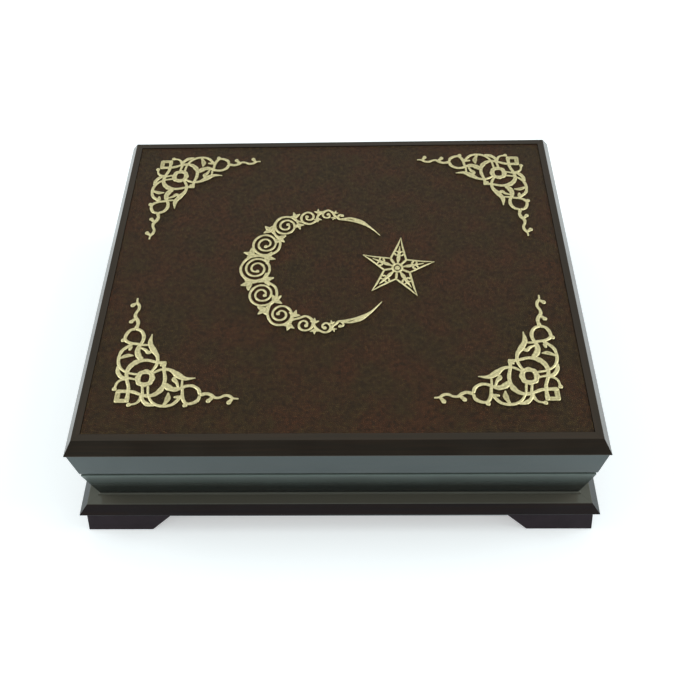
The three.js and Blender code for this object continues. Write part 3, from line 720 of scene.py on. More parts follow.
def finish(name, build, *settings):
    """The material of that name, built once."""
    return bpy.data.materials.get(name) or build(*settings)


# Lacquered rails and feet


def rail(name, side, section, material):
    """A rail with mitred ends along one side of the box."""
    _, turn, half, reach = side
    sizes = bpy.context.scene.box_sizes
    points = [(point[0], point[1], 0) for point in section]
    edges = [(i, (i + 1) % len(points)) for i in range(len(points))]
    piece = new_piece(name, points, [], edges)
    grow(piece, group("Mitred rail", rail_group),
         {"Half Length": half, "Reach": reach, "Mitre Gap": sizes.mitre_gap,
          "Material": material})
    piece.data.transform(Matrix.Rotation(turn, 4, "Z"))
    return piece


def frame_section(sizes):
    """Flat border, steep bevel and upright lip of the lid frame."""
    inner, outer = outs("lid_frame_front")
    bottom, top = levels("lid_frame_front")
    border = outs("lid_leather_panel")[1] + CLEARANCE
    seat = levels("lid_lining_top")[1]
    edge = sizes.edge_radius
    return rounded([
        (inner, bottom, 0),
        (outer, bottom, edge / 2),
        (outer, bottom + sizes.lip_height, edge / 2),
        (outer - sizes.bevel_width, top, edge * 1.5),
        (border, top, edge / 2),
        (border, seat, 0),
        (inner, seat, 0),
    ])


def lid_wall_section(sizes):
    """Lid wall, leaning outward to its top."""
    inner, outer = outs("lid_wall_front")
    bottom, top = levels("lid_wall_front")
    joint = outs("base_wall_front")[1]
    edge = sizes.edge_radius
    return rounded([(inner, bottom, edge), (joint, bottom, sizes.joint_edge), (outer, top, 0),
                    (inner, top, 0)])


def base_wall_section(sizes):
    """Base wall, leaning outward more than the lid wall above it."""
    inner, outer = outs("base_wall_front")
    bottom, top = levels("base_wall_front")
    foot = outs("plinth_front")[1] - sizes.plinth_bevel - sizes.ledge_width
    edge = sizes.edge_radius
    return rounded([(inner, bottom, 0), (foot, bottom, 0), (outer, top, 2 * edge),
                    (inner, top, edge)])


def plinth_section(sizes):
    """Bevel, rounded ledge and quarter round bead of the plinth."""
    inner, outer = outs("plinth_front")
    bottom, top = levels("bottom_panel")[0], levels("plinth_front")[1]
    seat_out = outs("bottom_panel")[1] + CLEARANCE
    seat = levels("base_lining_floor")[0]
    ledge_out = outer - sizes.plinth_bevel
    ledge = top - sizes.bead_radius
    wall = ledge_out - sizes.ledge_width
    lower = rounded([
        (seat_out, bottom, 0),
        (outer, bottom, 0.6 * sizes.edge_radius),
        (ledge_out, ledge, sizes.ledge_edge),
        (wall + sizes.bead_radius, ledge, 0),
        (wall, top, 0),
        (inner, top, 0),
        (inner, seat, 0),
        (seat_out, seat, 0),
    ])
    foot = next(i for i, point in enumerate(lower) if point.x == wall + sizes.bead_radius)
    bead = [Vector((wall + sizes.bead_radius * math.cos(k * QUARTER / 8),
                    ledge + sizes.bead_radius * math.sin(k * QUARTER / 8))) for k in range(1, 8)]
    return lower[:foot + 1] + bead + lower[foot + 1:]


def add_rails(prefix, nodes, section, body):
    """The four rails of one section, each standing for its own node."""
    sizes = bpy.context.scene.box_sizes
    colours = bpy.context.scene.box_colours
    member = {"lid_frame": "frame", "plinth": "plinth"}.get(nodes, "walls")
    wide = finish("Lacquered beech " + member + " wide", lacquered_beech, colours, member, False)
    deep = finish("Lacquered beech " + member + " deep", lacquered_beech, colours, member, True)
    for side in SIDES:
        material = deep if side[0] in ("left", "right") else wide
        piece = rail(prefix + "_" + side[0], side, section, material)
        if side[0] == "back" and "wall" in nodes:
            cut_mortises(piece, body)
        if nodes == "plinth":
            add_apron(piece, side, sizes)
        shade(piece)
        hand_over(piece, body, "lacquered_wood", material, nodes + "_" + side[0])


def add_apron(rail_piece, side, sizes):
    """Joins the strip that runs from foot to foot to the underside of a rail of the plinth."""
    _, turn, half, reach = side
    foot_low, foot_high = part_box("foot_front_by_left")
    bottom, top = levels("plinth_front")[0], foot_high.z + CLEARANCE
    out = outs("plinth_front")[1] - sizes.apron_setback
    end = half - foot_low.y - WELL_Y - sizes.foot_length - sizes.foot_cut + sizes.apron_overlap
    eased = rounded([(out - sizes.apron_thickness, bottom, 0), (out, bottom, 0.6 * sizes.edge_radius),
                     (out, top, 0), (out - sizes.apron_thickness, top, 0)])
    count = len(eased)
    points = [(way * end, -(reach + p.x), p.y) for way in (-1, 1) for p in eased]
    faces = [tuple(range(count)), tuple(reversed(range(count, 2 * count)))]
    faces += [((i + 1) % count, i, count + i, count + (i + 1) % count) for i in range(count)]
    strip = new_piece("strip", points, faces)
    strip.data.transform(Matrix.Rotation(turn, 4, "Z"))
    combine(rail_piece, [strip], "UNION")


def cut_mortises(piece, body):
    """Cuts the seats of the hinge leaves into a back wall."""
    for end in ("left", "right"):
        low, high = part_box("hinge_leaf_" + ("lid" if body == "lid" else "base") + "_" + end)
        wall = WELL_Y + outs("base_wall_front")[1]
        rim = levels("lid_wall_back")[0] if body == "lid" else levels("base_wall_back")[1]
        seat = bpy.context.scene.box_sizes.leaf_thickness + CLEARANCE
        cutter = box_solid("mortise", (low.x - CLEARANCE, low.y - CLEARANCE, rim - seat),
                           (high.x + CLEARANCE, wall + MM, rim + seat))
        combine(piece, [cutter], "DIFFERENCE")


def foot_bracket(name, side, other_end, sizes):
    """One bracket of a foot, mitred at the corner and cut on the slope at its inner end."""
    _, turn, half, reach = side
    low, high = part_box("foot_front_by_left")
    front = -low.y - WELL_Y
    tall = high.z
    toe = half + front - sizes.foot_length
    points = []
    for out in (front, front - sizes.foot_thickness):
        upper = out - sizes.foot_splay
        at_ground, at_top = -(reach + out), -(reach + upper)
        points += [(half + out - sizes.mitre_gap, at_ground, 0), (toe, at_ground, 0),
                   (toe - sizes.foot_cut, at_top, tall),
                   (half + upper - sizes.mitre_gap, at_top, tall)]
    faces = [(3, 2, 1, 0), (4, 5, 6, 7)]
    faces += [(i, (i + 1) % 4, 4 + (i + 1) % 4, 4 + i) for i in range(4)]
    if other_end:
        points = [(-x, y, z) for x, y, z in points]
        faces = [tuple(reversed(face)) for face in faces]
    piece = new_piece(name, points, faces)
    weights = piece.data.attributes.new("bevel_weight_edge", "FLOAT", "EDGE")
    at_mitre = (0, 3, 4, 7)
    for edge in piece.data.edges:
        crosses = edge.vertices[0] in at_mitre and edge.vertices[1] in at_mitre
        weights.data[edge.index].value = 0 if crosses else 1
    bevel = piece.modifiers.new("Eased edges", "BEVEL")
    bevel.limit_method = "WEIGHT"
    bevel.width = sizes.foot_edge
    bevel.segments = 4
    settle(piece)
    piece.data.transform(Matrix.Rotation(turn, 4, "Z"))
    return shade(piece)


# Gilt mounts, drawn as strands. Each strand has a centre line, widths and a height share.


def span_point(before, start, end, after, share_of_span):
    """A point between start and end on a centripetal curve through four points."""
    first, span, last = [max(math.sqrt((b - a).length), 1e-4)
                         for a, b in ((before, start), (start, end), (end, after))]
    leave = (start - before) / first - (end - before) / (first + span) + (end - start) / span
    arrive = (end - start) / span - (after - start) / (span + last) + (after - end) / last
    leave, arrive = leave * span, arrive * span
    w = share_of_span
    bend = 2 * start - 2 * end + leave + arrive
    return start + leave * w + (3 * (end - start) - 2 * leave - arrive) * w ** 2 + bend * w ** 3


def curve_through(points):
    """Closely spaced points along the curve through the points."""
    points = [Vector(point) for point in points]
    if len(points) == 2:
        return straight_through(points)
    ends = [2 * points[0] - points[1], *points, 2 * points[-1] - points[-2]]
    made = []
    for i in range(len(points) - 1):
        made += [span_point(*ends[i:i + 4], k / DRAWN_STEPS) for k in range(DRAWN_STEPS)]
    return made + [points[-1]]


def straight_through(points):
    """Closely spaced points along the straight lines between the points."""
    points = [Vector(point) for point in points]
    made = []
    for start, end in zip(points, points[1:]):
        made += [start.lerp(end, k / DRAWN_STEPS) for k in range(DRAWN_STEPS)]
    return made + [points[-1]]


def ray(turned, reach):
    """A point at an angle and a distance from the middle."""
    return Vector((math.cos(turned), math.sin(turned))) * reach


def along(values, place):
    """The value at a share of the way through the values."""
    if len(values) == 1:
        return values[0]
    position = place * (len(values) - 1)
    low = min(int(position), len(values) - 2)
    return values[low] + (values[low + 1] - values[low]) * (position - low)


# A strand's stations lie this far apart. Its ends are round, drawn at these angles, and slope down
# to this share of its height
STATION_STEP = 0.9 * MM
END_ANGLES = [math.radians(a) for a in (9, 26, 48, 70)]
END_HEIGHT = 0.45


class Mount:
    """The centre lines of a mount with the half width and the height share along them."""

    def __init__(self, place):
        self.place = place
        self.points = []
        self.edges = []
        self.widths = []
        self.lifts = []

    def add(self, stations, closed=False):
        """Adds a line of point, half width and height share."""
        first = len(self.points)
        for point, width, lift in stations:
            self.points.append(self.place(point))
            self.widths.append(width)
            self.lifts.append(lift)
        last = len(self.points) - 1
        self.edges += [(i, i + 1) for i in range(first, last)]
        if closed:
            self.edges.append((last, first))

    def strand(self, line, widths, lift, ends=1.0):
        """A strand along a line, full widths given, with rounded ends that slope down."""
        run = [0]
        for a, b in zip(line, line[1:]):
            run.append(run[-1] + (b - a).length)
        total = run[-1]
        tips = [widths[0] / 2 * ends, widths[-1] / 2 * ends]
        squeeze = min(1, total / max(sum(tips), 1e-9))
        places = [(tips[0] * squeeze * (1 - math.cos(a)), math.sin(a)) for a in END_ANGLES]
        inner = total - sum(tips) * squeeze
        cells = max(1, round(inner / STATION_STEP))
        places += [(tips[0] * squeeze + inner * k / cells, 1) for k in range(cells + 1)]
        places += [(total - tips[1] * squeeze * (1 - math.cos(a)), math.sin(a))
                   for a in reversed(END_ANGLES)]
        stations = []
        i = 0
        last_place = -1
        for distance, swell in places:
            if distance - last_place < 1e-6:
                continue
            last_place = distance
            while i < len(run) - 2 and run[i + 1] < distance:
                i += 1
            part = (distance - run[i]) / max(run[i + 1] - run[i], 1e-9)
            share_along = (i + part) / (len(line) - 1)
            here = line[i].lerp(line[i + 1], part)
            uneven = noise.noise(Vector((*here, lift)) / CAST_WAVE)
            cast = CAST_WIDTH * (1 + CAST_UNEVENNESS * uneven)
            width = along(widths, share_along) / 2 * swell * cast
            stations.append((here, width, lift * (END_HEIGHT + (1 - END_HEIGHT) * swell)))
        self.add(stations)

    def ball(self, centre, radius, lift):
        """A round boss."""
        centre = Vector(centre)
        arm = Vector((radius, 0))
        self.strand([centre - arm, centre, centre + arm], [2 * radius], lift)

    def cast(self, name, node, sizes):
        """Makes the finished casting."""
        ground = levels("lid_leather_panel")[1] - MOUNT_SUNK
        top = levels(node)[1]
        piece = new_piece(name, [(p.x, p.y, ground) for p in self.points], [], self.edges)
        for label, values in (("half_width", self.widths), ("lift", self.lifts)):
            layer = piece.data.attributes.new(label, "FLOAT", "POINT")
            layer.data.foreach_set("value", values)
        colours = bpy.context.scene.box_colours
        material = finish("Gilt casting", gilt_casting, colours, ground, top - ground)
        grow(piece, group("Domed strands", strand_group),
             {"Ground": ground, "Thickness": top - ground, "Edge": 0.45, "Vein": 0.3,
              "Leaf Width": sizes.vein_width / 2, "Material": material})
        hand_over(piece, "lid", "gilt_metal", material, node)


# One half of a corner mount, in millimetres from its two outer edges: widths, height, points
CORNER_STRANDS = (
    ((2.8, 2.6, 2.1, 2.2, 1.3), 0.86,
     ((9, 60), (10, 64.5), (9, 67.5), (7, 70.5), (7.2, 73.5), (8.6, 76.5), (8.3, 79.5),
      (6.5, 82.5), (6.2, 86))),
    ((2.2, 3), 0.8, ((8.4, 69.4), (5, 66.2))),
    ((2, 2.6), 0.8, ((7.2, 82.2), (3.8, 79.8))),
    ((2.4, 2.4, 2.4, 2.8, 4.4, 3.6), 0.95,
     ((9, 60), (13, 58.6), (15.6, 54.6), (15.6, 50.2), (14, 46.7), (13.2, 42.3), (14.6, 38.5),
      (17.5, 35.4))),
    ((2.4, 2.4, 2.4, 2.4, 2.2, 1.6), 0.84,
     ((9, 60), (5.4, 59), (3, 55), (3.2, 51.3), (7, 48.8), (12, 48), (16, 47.2), (20.4, 47))),
    ((1.8, 2.2, 2.8, 4.4, 3.6, 0.8), 1,
     ((24.8, 25.4), (28, 32), (27.6, 38), (24.2, 43), (21.1, 48.5), (21.4, 55.8))),
    ((2.2, 3, 1.4), 0.86, ((23, 42.6), (21, 41), (18.6, 43.2), (14.5, 45))),
    ((2.6, 2.4, 2.6, 3.8, 3.2, 2.4, 2.4, 2.6, 3.2), 0.92,
     ((32.4, 32.8), (27, 33.8), (20.5, 35.2), (14.5, 34.2), (10.4, 31), (8.6, 26.5),
      (9.6, 20.5), (11.6, 15), (12, 10), (12, 3.6))),
    ((3.2, 3.4), 0.8, ((13.4, 5.2), (3.6, 5.2))),
    ((2.2, 2.2, 1.8, 1.8), 0.84, ((10.5, 20.8), (6.4, 20.7), (3.4, 18.6), (2.4, 14.6))),
    ((1.8, 1.8, 2.2, 2.4, 2.4, 2.4), 0.9,
     ((16.4, 24.4), (9, 25.8), (4.2, 28.8), (1.7, 33), (1.2, 38), (2.2, 42.3), (5.4, 45.6),
      (9, 48))),
    ((3.6, 1.6), 0.8, ((7.8, 47), (7.6, 42.6))),
    ((1.8, 2, 2.8, 3, 1.8), 0.97, ((16, 20.6), (11, 21.6), (6, 22.2), (2.6, 26), (1.6, 31))),
    ((0.9, 3.6, 1.8), 0.78, ((11.2, 38.8), (7, 39), (1.6, 36.8))),
)
CORNER_BALLS = ((4.8, 66), (3.6, 79.7), (1.8, 51), (2.3, 13.8))
CORNER_BALL_RADIUS = 1.7
ROSETTE = {"centre": 21.6, "outer": 6.8, "inner": 3, "lobes": 8, "lobe_height": 0.25, "steps": 96}
NUB = {"centre": 32.4, "size": 4.6}


def corner_mount(name, node, right, back, sizes):
    """An openwork corner, the same on both sides of its diagonal."""
    stretch = sizes.mount_depth
    flat = outs("lid_frame_front")[1] - sizes.bevel_width
    margin = sizes.corner_back_margin if back else sizes.corner_front_margin
    edge_x = WELL_X + flat - sizes.corner_side_margin
    edge_y = WELL_Y + flat - margin
    way_x = 1 if right else -1
    way_y = 1 if back else -1

    def place(point):
        return Vector((way_x * (edge_x - point.x), way_y * (edge_y - stretch * point.y)))

    mount = Mount(place)
    for swapped in (False, True):
        for widths, lift, points in CORNER_STRANDS:
            drawn = [(v, u) if swapped else (u, v) for u, v in points]
            line = [point * MM for point in curve_through(drawn)]
            mount.strand(line, [w * MM for w in widths], lift - 0.03 * swapped)
        for u, v in CORNER_BALLS:
            centre = (v, u) if swapped else (u, v)
            mount.ball([c * MM for c in centre], CORNER_BALL_RADIUS * MM, 0.95)
    ring = []
    lobe = ROSETTE["lobe_height"]
    for k in range(ROSETTE["steps"]):
        turn = 2 * math.pi * k / ROSETTE["steps"]
        out = ROSETTE["outer"] + lobe * math.cos(ROSETTE["lobes"] * turn)
        inside = ROSETTE["inner"] - lobe * math.cos(ROSETTE["lobes"] / 2 * turn)
        middle = ray(turn, (out + inside) / 2)
        ring.append(((middle + Vector((ROSETTE["centre"],) * 2)) * MM, (out - inside) / 2 * MM, 1))
    mount.add(ring, closed=True)
    start = Vector((NUB["centre"] - NUB["size"] / 2, NUB["centre"])) * MM
    end = Vector((NUB["centre"] + NUB["size"] / 2, NUB["centre"])) * MM
    mount.strand([start, start.lerp(end, 0.5), end], [NUB["size"] * MM], 0.96, ends=0.35)
    mount.cast(name, node, sizes)


# The running scroll of the crescent: distance between the curls as a share of its width, smallest
# width with a curl and distance between the turns of a curl in strokes, eye of a curl as a share of
# its radius, how far round a curl the stem follows it in radians, size of the leaves between the
# curls as a share of its width, and where the lines of the horns pass
CURL_PITCH = 0.92
CURL_SMALLEST = 3.6
CURL_SPACING = 2.1
CURL_EYE = 0.22
CURL_STEPS = 60
STEM_HUG = 0.9
GAP_LEAF = 0.33
HORN_PLACES = (0.2, 0.45, 0.72, 1)
HORN_LEAF_PLACES = (0.22, 0.4, 0.62)


def crescent_band(angle, sizes):
    """Direction, middle radius and width of the crescent at an angle."""
    radius = sizes.moon_radius
    offset = radius * sizes.moon_offset
    direction = ray(angle, 1)
    across = offset * direction.y
    inner = offset * direction.x + math.sqrt((radius * sizes.moon_hollow) ** 2 - across ** 2)
    return direction, (radius + inner) / 2, radius - inner


def in_band(angle, side, sizes):
    """A point of the crescent: side runs from -1 at its inner edge to 1 at its outer edge."""
    direction, middle, width = crescent_band(angle, sizes)
    return direction * (middle + side * max(width - sizes.scroll_stroke, 0) / 2)


def crescent_curls(sizes):
    """The curls from horn to horn, each with the edge at which the stem passes over it."""
    rows = []
    for way in (-1, 1):
        angle, crest, row = math.pi, 1, []
        _, middle, width = crescent_band(angle, sizes)
        while width > CURL_SMALLEST * sizes.scroll_stroke:
            row.append((angle, crest))
            angle += way * CURL_PITCH * width / middle
            crest = -crest
            _, middle, width = crescent_band(angle, sizes)
        rows.append(row)
    return rows[0][::-1] + rows[1][1:]


def round_curl(cell, part, turned, sizes):
    """A point round the middle of a curl at a part of its radius, turned onward from its crest."""
    angle, crest = cell
    direction, middle, width = crescent_band(angle, sizes)
    reach = part * (width - sizes.scroll_stroke) / 2
    onward = Vector((-direction.y, direction.x)) * math.sin(turned)
    return direction * middle + (direction * crest * math.cos(turned) + onward) * reach


def add_curl(mount, cell, sizes):
    """A curl that leaves the stem at its crest, winds inward and ends in a ball."""
    stroke = sizes.scroll_stroke
    radius = (crescent_band(cell[0], sizes)[2] - stroke) / 2
    eye = max(CURL_EYE, stroke / 2 / radius)
    turns = max((1 - eye) * radius / (CURL_SPACING * stroke), 0.5)
    line = []
    for k in range(CURL_STEPS + 1):
        part = k / CURL_STEPS
        line.append(round_curl(cell, 1 + (eye - 1) * part, turns * 2 * math.pi * part, sizes))
    mount.strand(line, [stroke, 0.95 * stroke, 0.9 * stroke, 0.8 * stroke], 0.88)
    mount.ball(line[-1], 0.78 * stroke, 0.98)


def crescent_mount(name, node, sizes):
    """A crescent filled by a running scroll with leaves, whose lines close in the horns."""
    stroke = sizes.scroll_stroke
    centre = Vector((sizes.moon_x, sizes.moon_y))
    mount = Mount(lambda point: centre + Vector((point.x, sizes.mount_depth * point.y)))
    cells = crescent_curls(sizes)
    stem = []
    for i, cell in enumerate(cells):
        stem += [round_curl(cell, 1, turned, sizes) for turned in (-STEM_HUG, 0, STEM_HUG)]
        add_curl(mount, cell, sizes)
        if i < len(cells) - 1:
            between = (cell[0] + cells[i + 1][0]) / 2
            stem.append(in_band(between, 0, sizes))
            add_gap_leaves(mount, between, sizes)
    share_across = sizes.moon_offset ** 2 + 1 - sizes.moon_hollow ** 2
    tip = math.acos(share_across / (2 * sizes.moon_offset))
    for cell, end in ((cells[0], tip), (cells[-1], 2 * math.pi - tip)):
        angle, crest = cell
        spots = [angle + (end - angle) * place for place in HORN_PLACES]
        crossed = [in_band(at, -crest if i else 0, sizes) for i, at in enumerate(spots)]
        stem = stem + crossed if end > math.pi else crossed[::-1] + stem
        near = [in_band(at, crest, sizes) for at in [angle] + spots]
        mount.strand(curve_through(near), [stroke, stroke, 0.8 * stroke, 0.5 * MM], 0.84)
        width = crescent_band(angle, sizes)[2]
        leaf = [in_band(angle + (end - angle) * place, 0, sizes) for place in HORN_LEAF_PLACES]
        mount.strand(curve_through(leaf), [0.08 * width, 0.3 * width, 0.06 * width], 0.94)
    widths = [0.5 * MM, 0.8 * stroke] + [stroke] * (len(stem) - 4) + [0.8 * stroke, 0.5 * MM]
    mount.strand(curve_through(stem), widths, 0.92)
    mount.cast(name, node, sizes)


def add_gap_leaves(mount, angle, sizes):
    """Three-pointed leaves on short stalks between two curls, toward both edges of the crescent."""
    direction, middle, width = crescent_band(angle, sizes)
    size = GAP_LEAF * width
    for side in (-1, 1):
        foot = direction * (middle + side * (width / 2 - size))
        mount.strand([direction * middle, foot], [0.22 * size, 0.26 * size], 0.8)
        add_trefoil(mount, foot, side * direction, size)


def add_trefoil(mount, foot, aim, size):
    """Three leaves that spread from one place."""
    for turn, reach in ((-0.75, 0.85), (0, 1), (0.75, 0.85)):
        way = Matrix.Rotation(turn, 2) @ aim
        bend = Matrix.Rotation(0.4 * turn, 2) @ way
        line = curve_through([foot, foot + way * size * reach * 0.5, foot + bend * size * reach])
        mount.strand(line, [0.25 * size, 0.5 * size, 0.12 * size], 0.84 if turn else 0.94)


# The star, in shares of the half edge of its middle pentagon or of its radius: where the tapered
# points end, where a curl leaves the border, lies, turns and closes, how far a spoke reaches in,
# the leaf in each point, the ring and the boss
STAR_TAPER = 0.3
STAR_CURL_START = 0.62
STAR_CURL_OUT = 1.15
STAR_CURL_IN = 0.42
STAR_CURL_TURNS = 0.8
STAR_CURL_CLOSES = 0.6
STAR_CURL_STEPS = 30
STAR_SPOKE_END = 0.4
STAR_LEAF_PLACES = (0.45, 0.95, 1.6, 2.3)
STAR_LEAF_WIDTHS = (0.033, 0.107, 0.073, 0.02)
STAR_RING = 0.52
STAR_BOSS = 1.1


def star_waist(sizes):
    """Half edge of the middle pentagon of the star, its notches, and how far the border is inset."""
    edge = sizes.star_radius * math.sin(math.pi / 10)
    return edge, edge / math.cos(math.pi / 5), 1 - sizes.star_border / 2 / edge


def add_star_side(mount, tip, way, sizes):
    """One side of a point of the star: its tapered border and the curl that springs from it."""
    stroke, border, radius = sizes.scroll_stroke, sizes.star_border, sizes.star_radius
    edge, waist, inset = star_waist(sizes)
    inner_tip = ray(tip, radius * inset)
    inner_notch = ray(tip + way * math.pi / 5, waist * inset)
    join = inner_tip.lerp(inner_notch, STAR_TAPER)
    line = straight_through([ray(tip, radius * 0.995), join, inner_notch])
    mount.strand(line, [0.3 * border, border, border], 0.9 + 0.02 * way, ends=0.8)
    start = inner_tip.lerp(inner_notch, STAR_CURL_START)
    centre = start.lerp(ray(tip, edge * STAR_CURL_OUT), STAR_CURL_IN)
    curl = []
    for k in range(STAR_CURL_STEPS + 1):
        part = k / STAR_CURL_STEPS
        spin = Matrix.Rotation(-way * 2 * math.pi * STAR_CURL_TURNS * part, 2)
        curl.append(centre + spin @ (start - centre) * (1 - STAR_CURL_CLOSES * part))
    mount.strand(curl, [0.7 * stroke, 0.85 * stroke, 0.6 * stroke], 0.86)
    mount.ball(curl[-1], 0.5 * stroke, 0.95)


def star_mount(name, node, sizes):
    """A five-pointed star: tapered border, inner ring, spokes, leaves and curls."""
    centre = Vector((sizes.star_x, sizes.star_y))
    turn = Matrix.Rotation(-sizes.star_turn, 2)
    stretch = Matrix.Diagonal((1, sizes.mount_depth))
    mount = Mount(lambda point: centre + stretch @ turn @ Vector(point))
    stroke = sizes.scroll_stroke
    edge, waist, inset = star_waist(sizes)
    for i in range(5):
        tip = QUARTER + i * 2 * math.pi / 5
        for way in (1, -1):
            add_star_side(mount, tip, way, sizes)
        notch = ray(tip + math.pi / 5, waist * inset)
        spoke = straight_through([notch, notch * STAR_SPOKE_END])
        mount.strand(spoke, [stroke, 0.9 * stroke], 0.86)
        leaf = curve_through([ray(tip, edge * place) for place in STAR_LEAF_PLACES])
        mount.strand(leaf, [wide * sizes.star_radius for wide in STAR_LEAF_WIDTHS], 1)
    ring_radius = edge * STAR_RING - stroke / 2
    ring = [(ray(2 * math.pi * k / 64, ring_radius), stroke / 2, 0.95) for k in range(64)]
    mount.add(ring, closed=True)
    mount.ball((0, 0), STAR_BOSS * stroke, 1)
    mount.cast(name, node, sizes)


# Hinges. The knuckles and pins are drawn along Z and turned to lie along X.
TO_X = Matrix.Rotation(QUARTER, 4, "Y")
BLOCK_EASE = 0.15 * MM
BARREL_EASE = 0.2 * MM
SLOT_HALF_WIDTH = 0.35 * MM
SLOT_DEPTH = 0.5 * MM


def hinge_axis(end):
    """Middle of a hinge on its axis."""
    low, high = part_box("hinge_pin_" + end)
    return (low + high) / 2


def eased_block(name, low, high):
    """A block with eased edges."""
    piece = box_solid(name, low, high)
    bevel = piece.modifiers.new("Eased edges", "BEVEL")
    bevel.width = BLOCK_EASE
    bevel.segments = 2
    return settle(piece)


def hinge_leaf(name, part, end, sizes):
    """A leaf: plate in the wall, knuckles with the bore for the pin, stop wing, countersinks."""
    axis = hinge_axis(end)
    up = 1 if part == "lid" else -1
    low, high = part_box("hinge_leaf_" + part + "_" + end)
    half = (high.x - low.x) / 2
    thick = sizes.leaf_thickness
    swing = sizes.knuckle_radius + CLEARANCE
    rim = abs(levels("lid_wall_back")[0] - axis.z)
    plate = sorted((up * rim, up * (rim + thick)))
    flat = sorted((0, up * thick))
    leaf = eased_block(name, (-half, low.y - axis.y, plate[0]), (half, -swing, plate[1]))
    reach = sizes.wing_reach
    touch = math.atan2(CLEARANCE, swing + reach / 2)
    wing_turn = Matrix.Rotation(up * (sizes.open_angle + touch) / 2, 4, "X")
    wing = eased_block("wing", (-half, swing, flat[0]), (half, swing + reach, flat[1]))
    wing.data.transform(wing_turn)
    others = [wing]
    for place in ([0] if part == "lid" else [-1, 1]):
        start, stop = knuckle_span(place, half)
        others.append(barrel(start, stop, sizes))
        others.append(box_solid("root", (start, -swing - MM, plate[0]), (stop, 0, plate[1])))
        wing_root = box_solid("root", (start, 0, flat[0]), (stop, swing + MM, flat[1]))
        wing_root.data.transform(wing_turn)
        others.append(wing_root)
    combine(leaf, others, "UNION")
    bore_radius = sizes.pin_radius + CLEARANCE
    cuts = [turned_solid("bore", [(bore_radius, -half - MM), (bore_radius, half + MM)], 48, TO_X)]
    for x in screw_offsets(half, sizes):
        cuts.append(countersink((x, screw_line(sizes), up * rim), up, sizes))
    combine(leaf, cuts, "DIFFERENCE")
    leaf.data.transform(Matrix.Translation(axis))
    return shade(leaf, 30)


def knuckle_span(place, half):
    """Start and end of a knuckle along a hinge: -1 is the left one, 0 the middle, 1 the right."""
    third = 2 * half / 3
    gap = CLEARANCE / 2
    width = third - (gap if place else 2 * gap)
    middle = place * (third + gap / 2)
    return middle - width / 2, middle + width / 2


def barrel(start, stop, sizes):
    """The round of a knuckle, with eased ends."""
    radius, ease = sizes.knuckle_radius, BARREL_EASE
    profile = [(radius - ease, start), (radius, start + ease), (radius, stop - ease),
               (radius - ease, stop)]
    return turned_solid("barrel", profile, 64, TO_X)


def countersink(place, up, sizes):
    """The cut for a screw that enters a leaf upward or downward."""
    thick = sizes.leaf_thickness
    wide = sizes.screw_head + 0.1 * MM
    narrow = sizes.screw_shank + CLEARANCE
    slope = [(wide, -0.5 * MM), (wide, 0), (narrow, thick), (narrow, thick + MM)]
    sink = turned_solid("sink", slope, 48, Matrix.Rotation(0 if up > 0 else math.pi, 4, "X"))
    sink.data.transform(Matrix.Translation(place))
    return sink


def screw_offsets(half, sizes):
    """Places of the two screws of a leaf along it."""
    return (sizes.screw_inset - half, half - sizes.screw_inset)


def screw_line(sizes):
    """Distance of the screws behind the axis, in the middle of the plate."""
    plate = hinge_axis("left").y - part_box("hinge_leaf_lid_left")[0].y
    return -(plate + sizes.knuckle_radius + CLEARANCE) / 2


def hinge_pin(name, end, sizes):
    """A pin with two domed heads."""
    low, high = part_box("hinge_pin_" + end)
    half = (high.x - low.x) / 2
    head = sizes.pin_head_length
    radius = sizes.pin_head_radius
    profile = []
    for k in range(7):
        turned = QUARTER * k / 6
        out = max(radius * math.sin(turned), 0.05 * MM)
        profile.append((out, -half + head * 0.6 * (1 - math.cos(turned))))
    profile += [(radius, -half + head), (sizes.pin_radius, -half + head)]
    profile += [(r, -h) for r, h in reversed(profile)]
    pin = turned_solid(name, profile, 48, TO_X)
    pin.data.transform(Matrix.Translation(hinge_axis(end)))
    return shade(pin, 40)


def screw_pattern(sizes):
    """A countersunk screw with a slot, head upward at the origin."""
    head, shank, thick = sizes.screw_head, sizes.screw_shank, sizes.leaf_thickness
    low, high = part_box("hinge_screw_base_left_1")
    deep = high.z - low.z
    profile = [(0.05 * MM, -deep), (shank, -deep + 2 * MM), (shank, -thick), (head, -0.12 * MM),
               (head - 0.1 * MM, 0)]
    screw = turned_solid("screw_pattern", profile, 32)
    slot = box_solid("slot", (-head - MM, -SLOT_HALF_WIDTH, -SLOT_DEPTH),
                     (head + MM, SLOT_HALF_WIDTH, MM))
    combine(screw, [slot], "DIFFERENCE")
    return shade(screw, 40)


def set_screws(name, part, pattern, sizes, material):
    """The four screws of one part, set by a node group."""
    points = []
    for end in ("left", "right"):
        axis = hinge_axis(end)
        low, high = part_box("hinge_leaf_" + part + "_" + end)
        rim = levels("lid_wall_back")[0]
        if part == "base":
            rim = 2 * axis.z - rim
        for x in screw_offsets((high.x - low.x) / 2, sizes):
            points.append((axis.x + x, axis.y + screw_line(sizes), rim))
    screws = new_piece(name, points, [])
    return grow(screws, group("Set screws", screw_group),
                {"Screw": pattern, "Flip": math.pi if part == "lid" else 0.0, "Seed": 7,
                 "Material": material})


# The stage


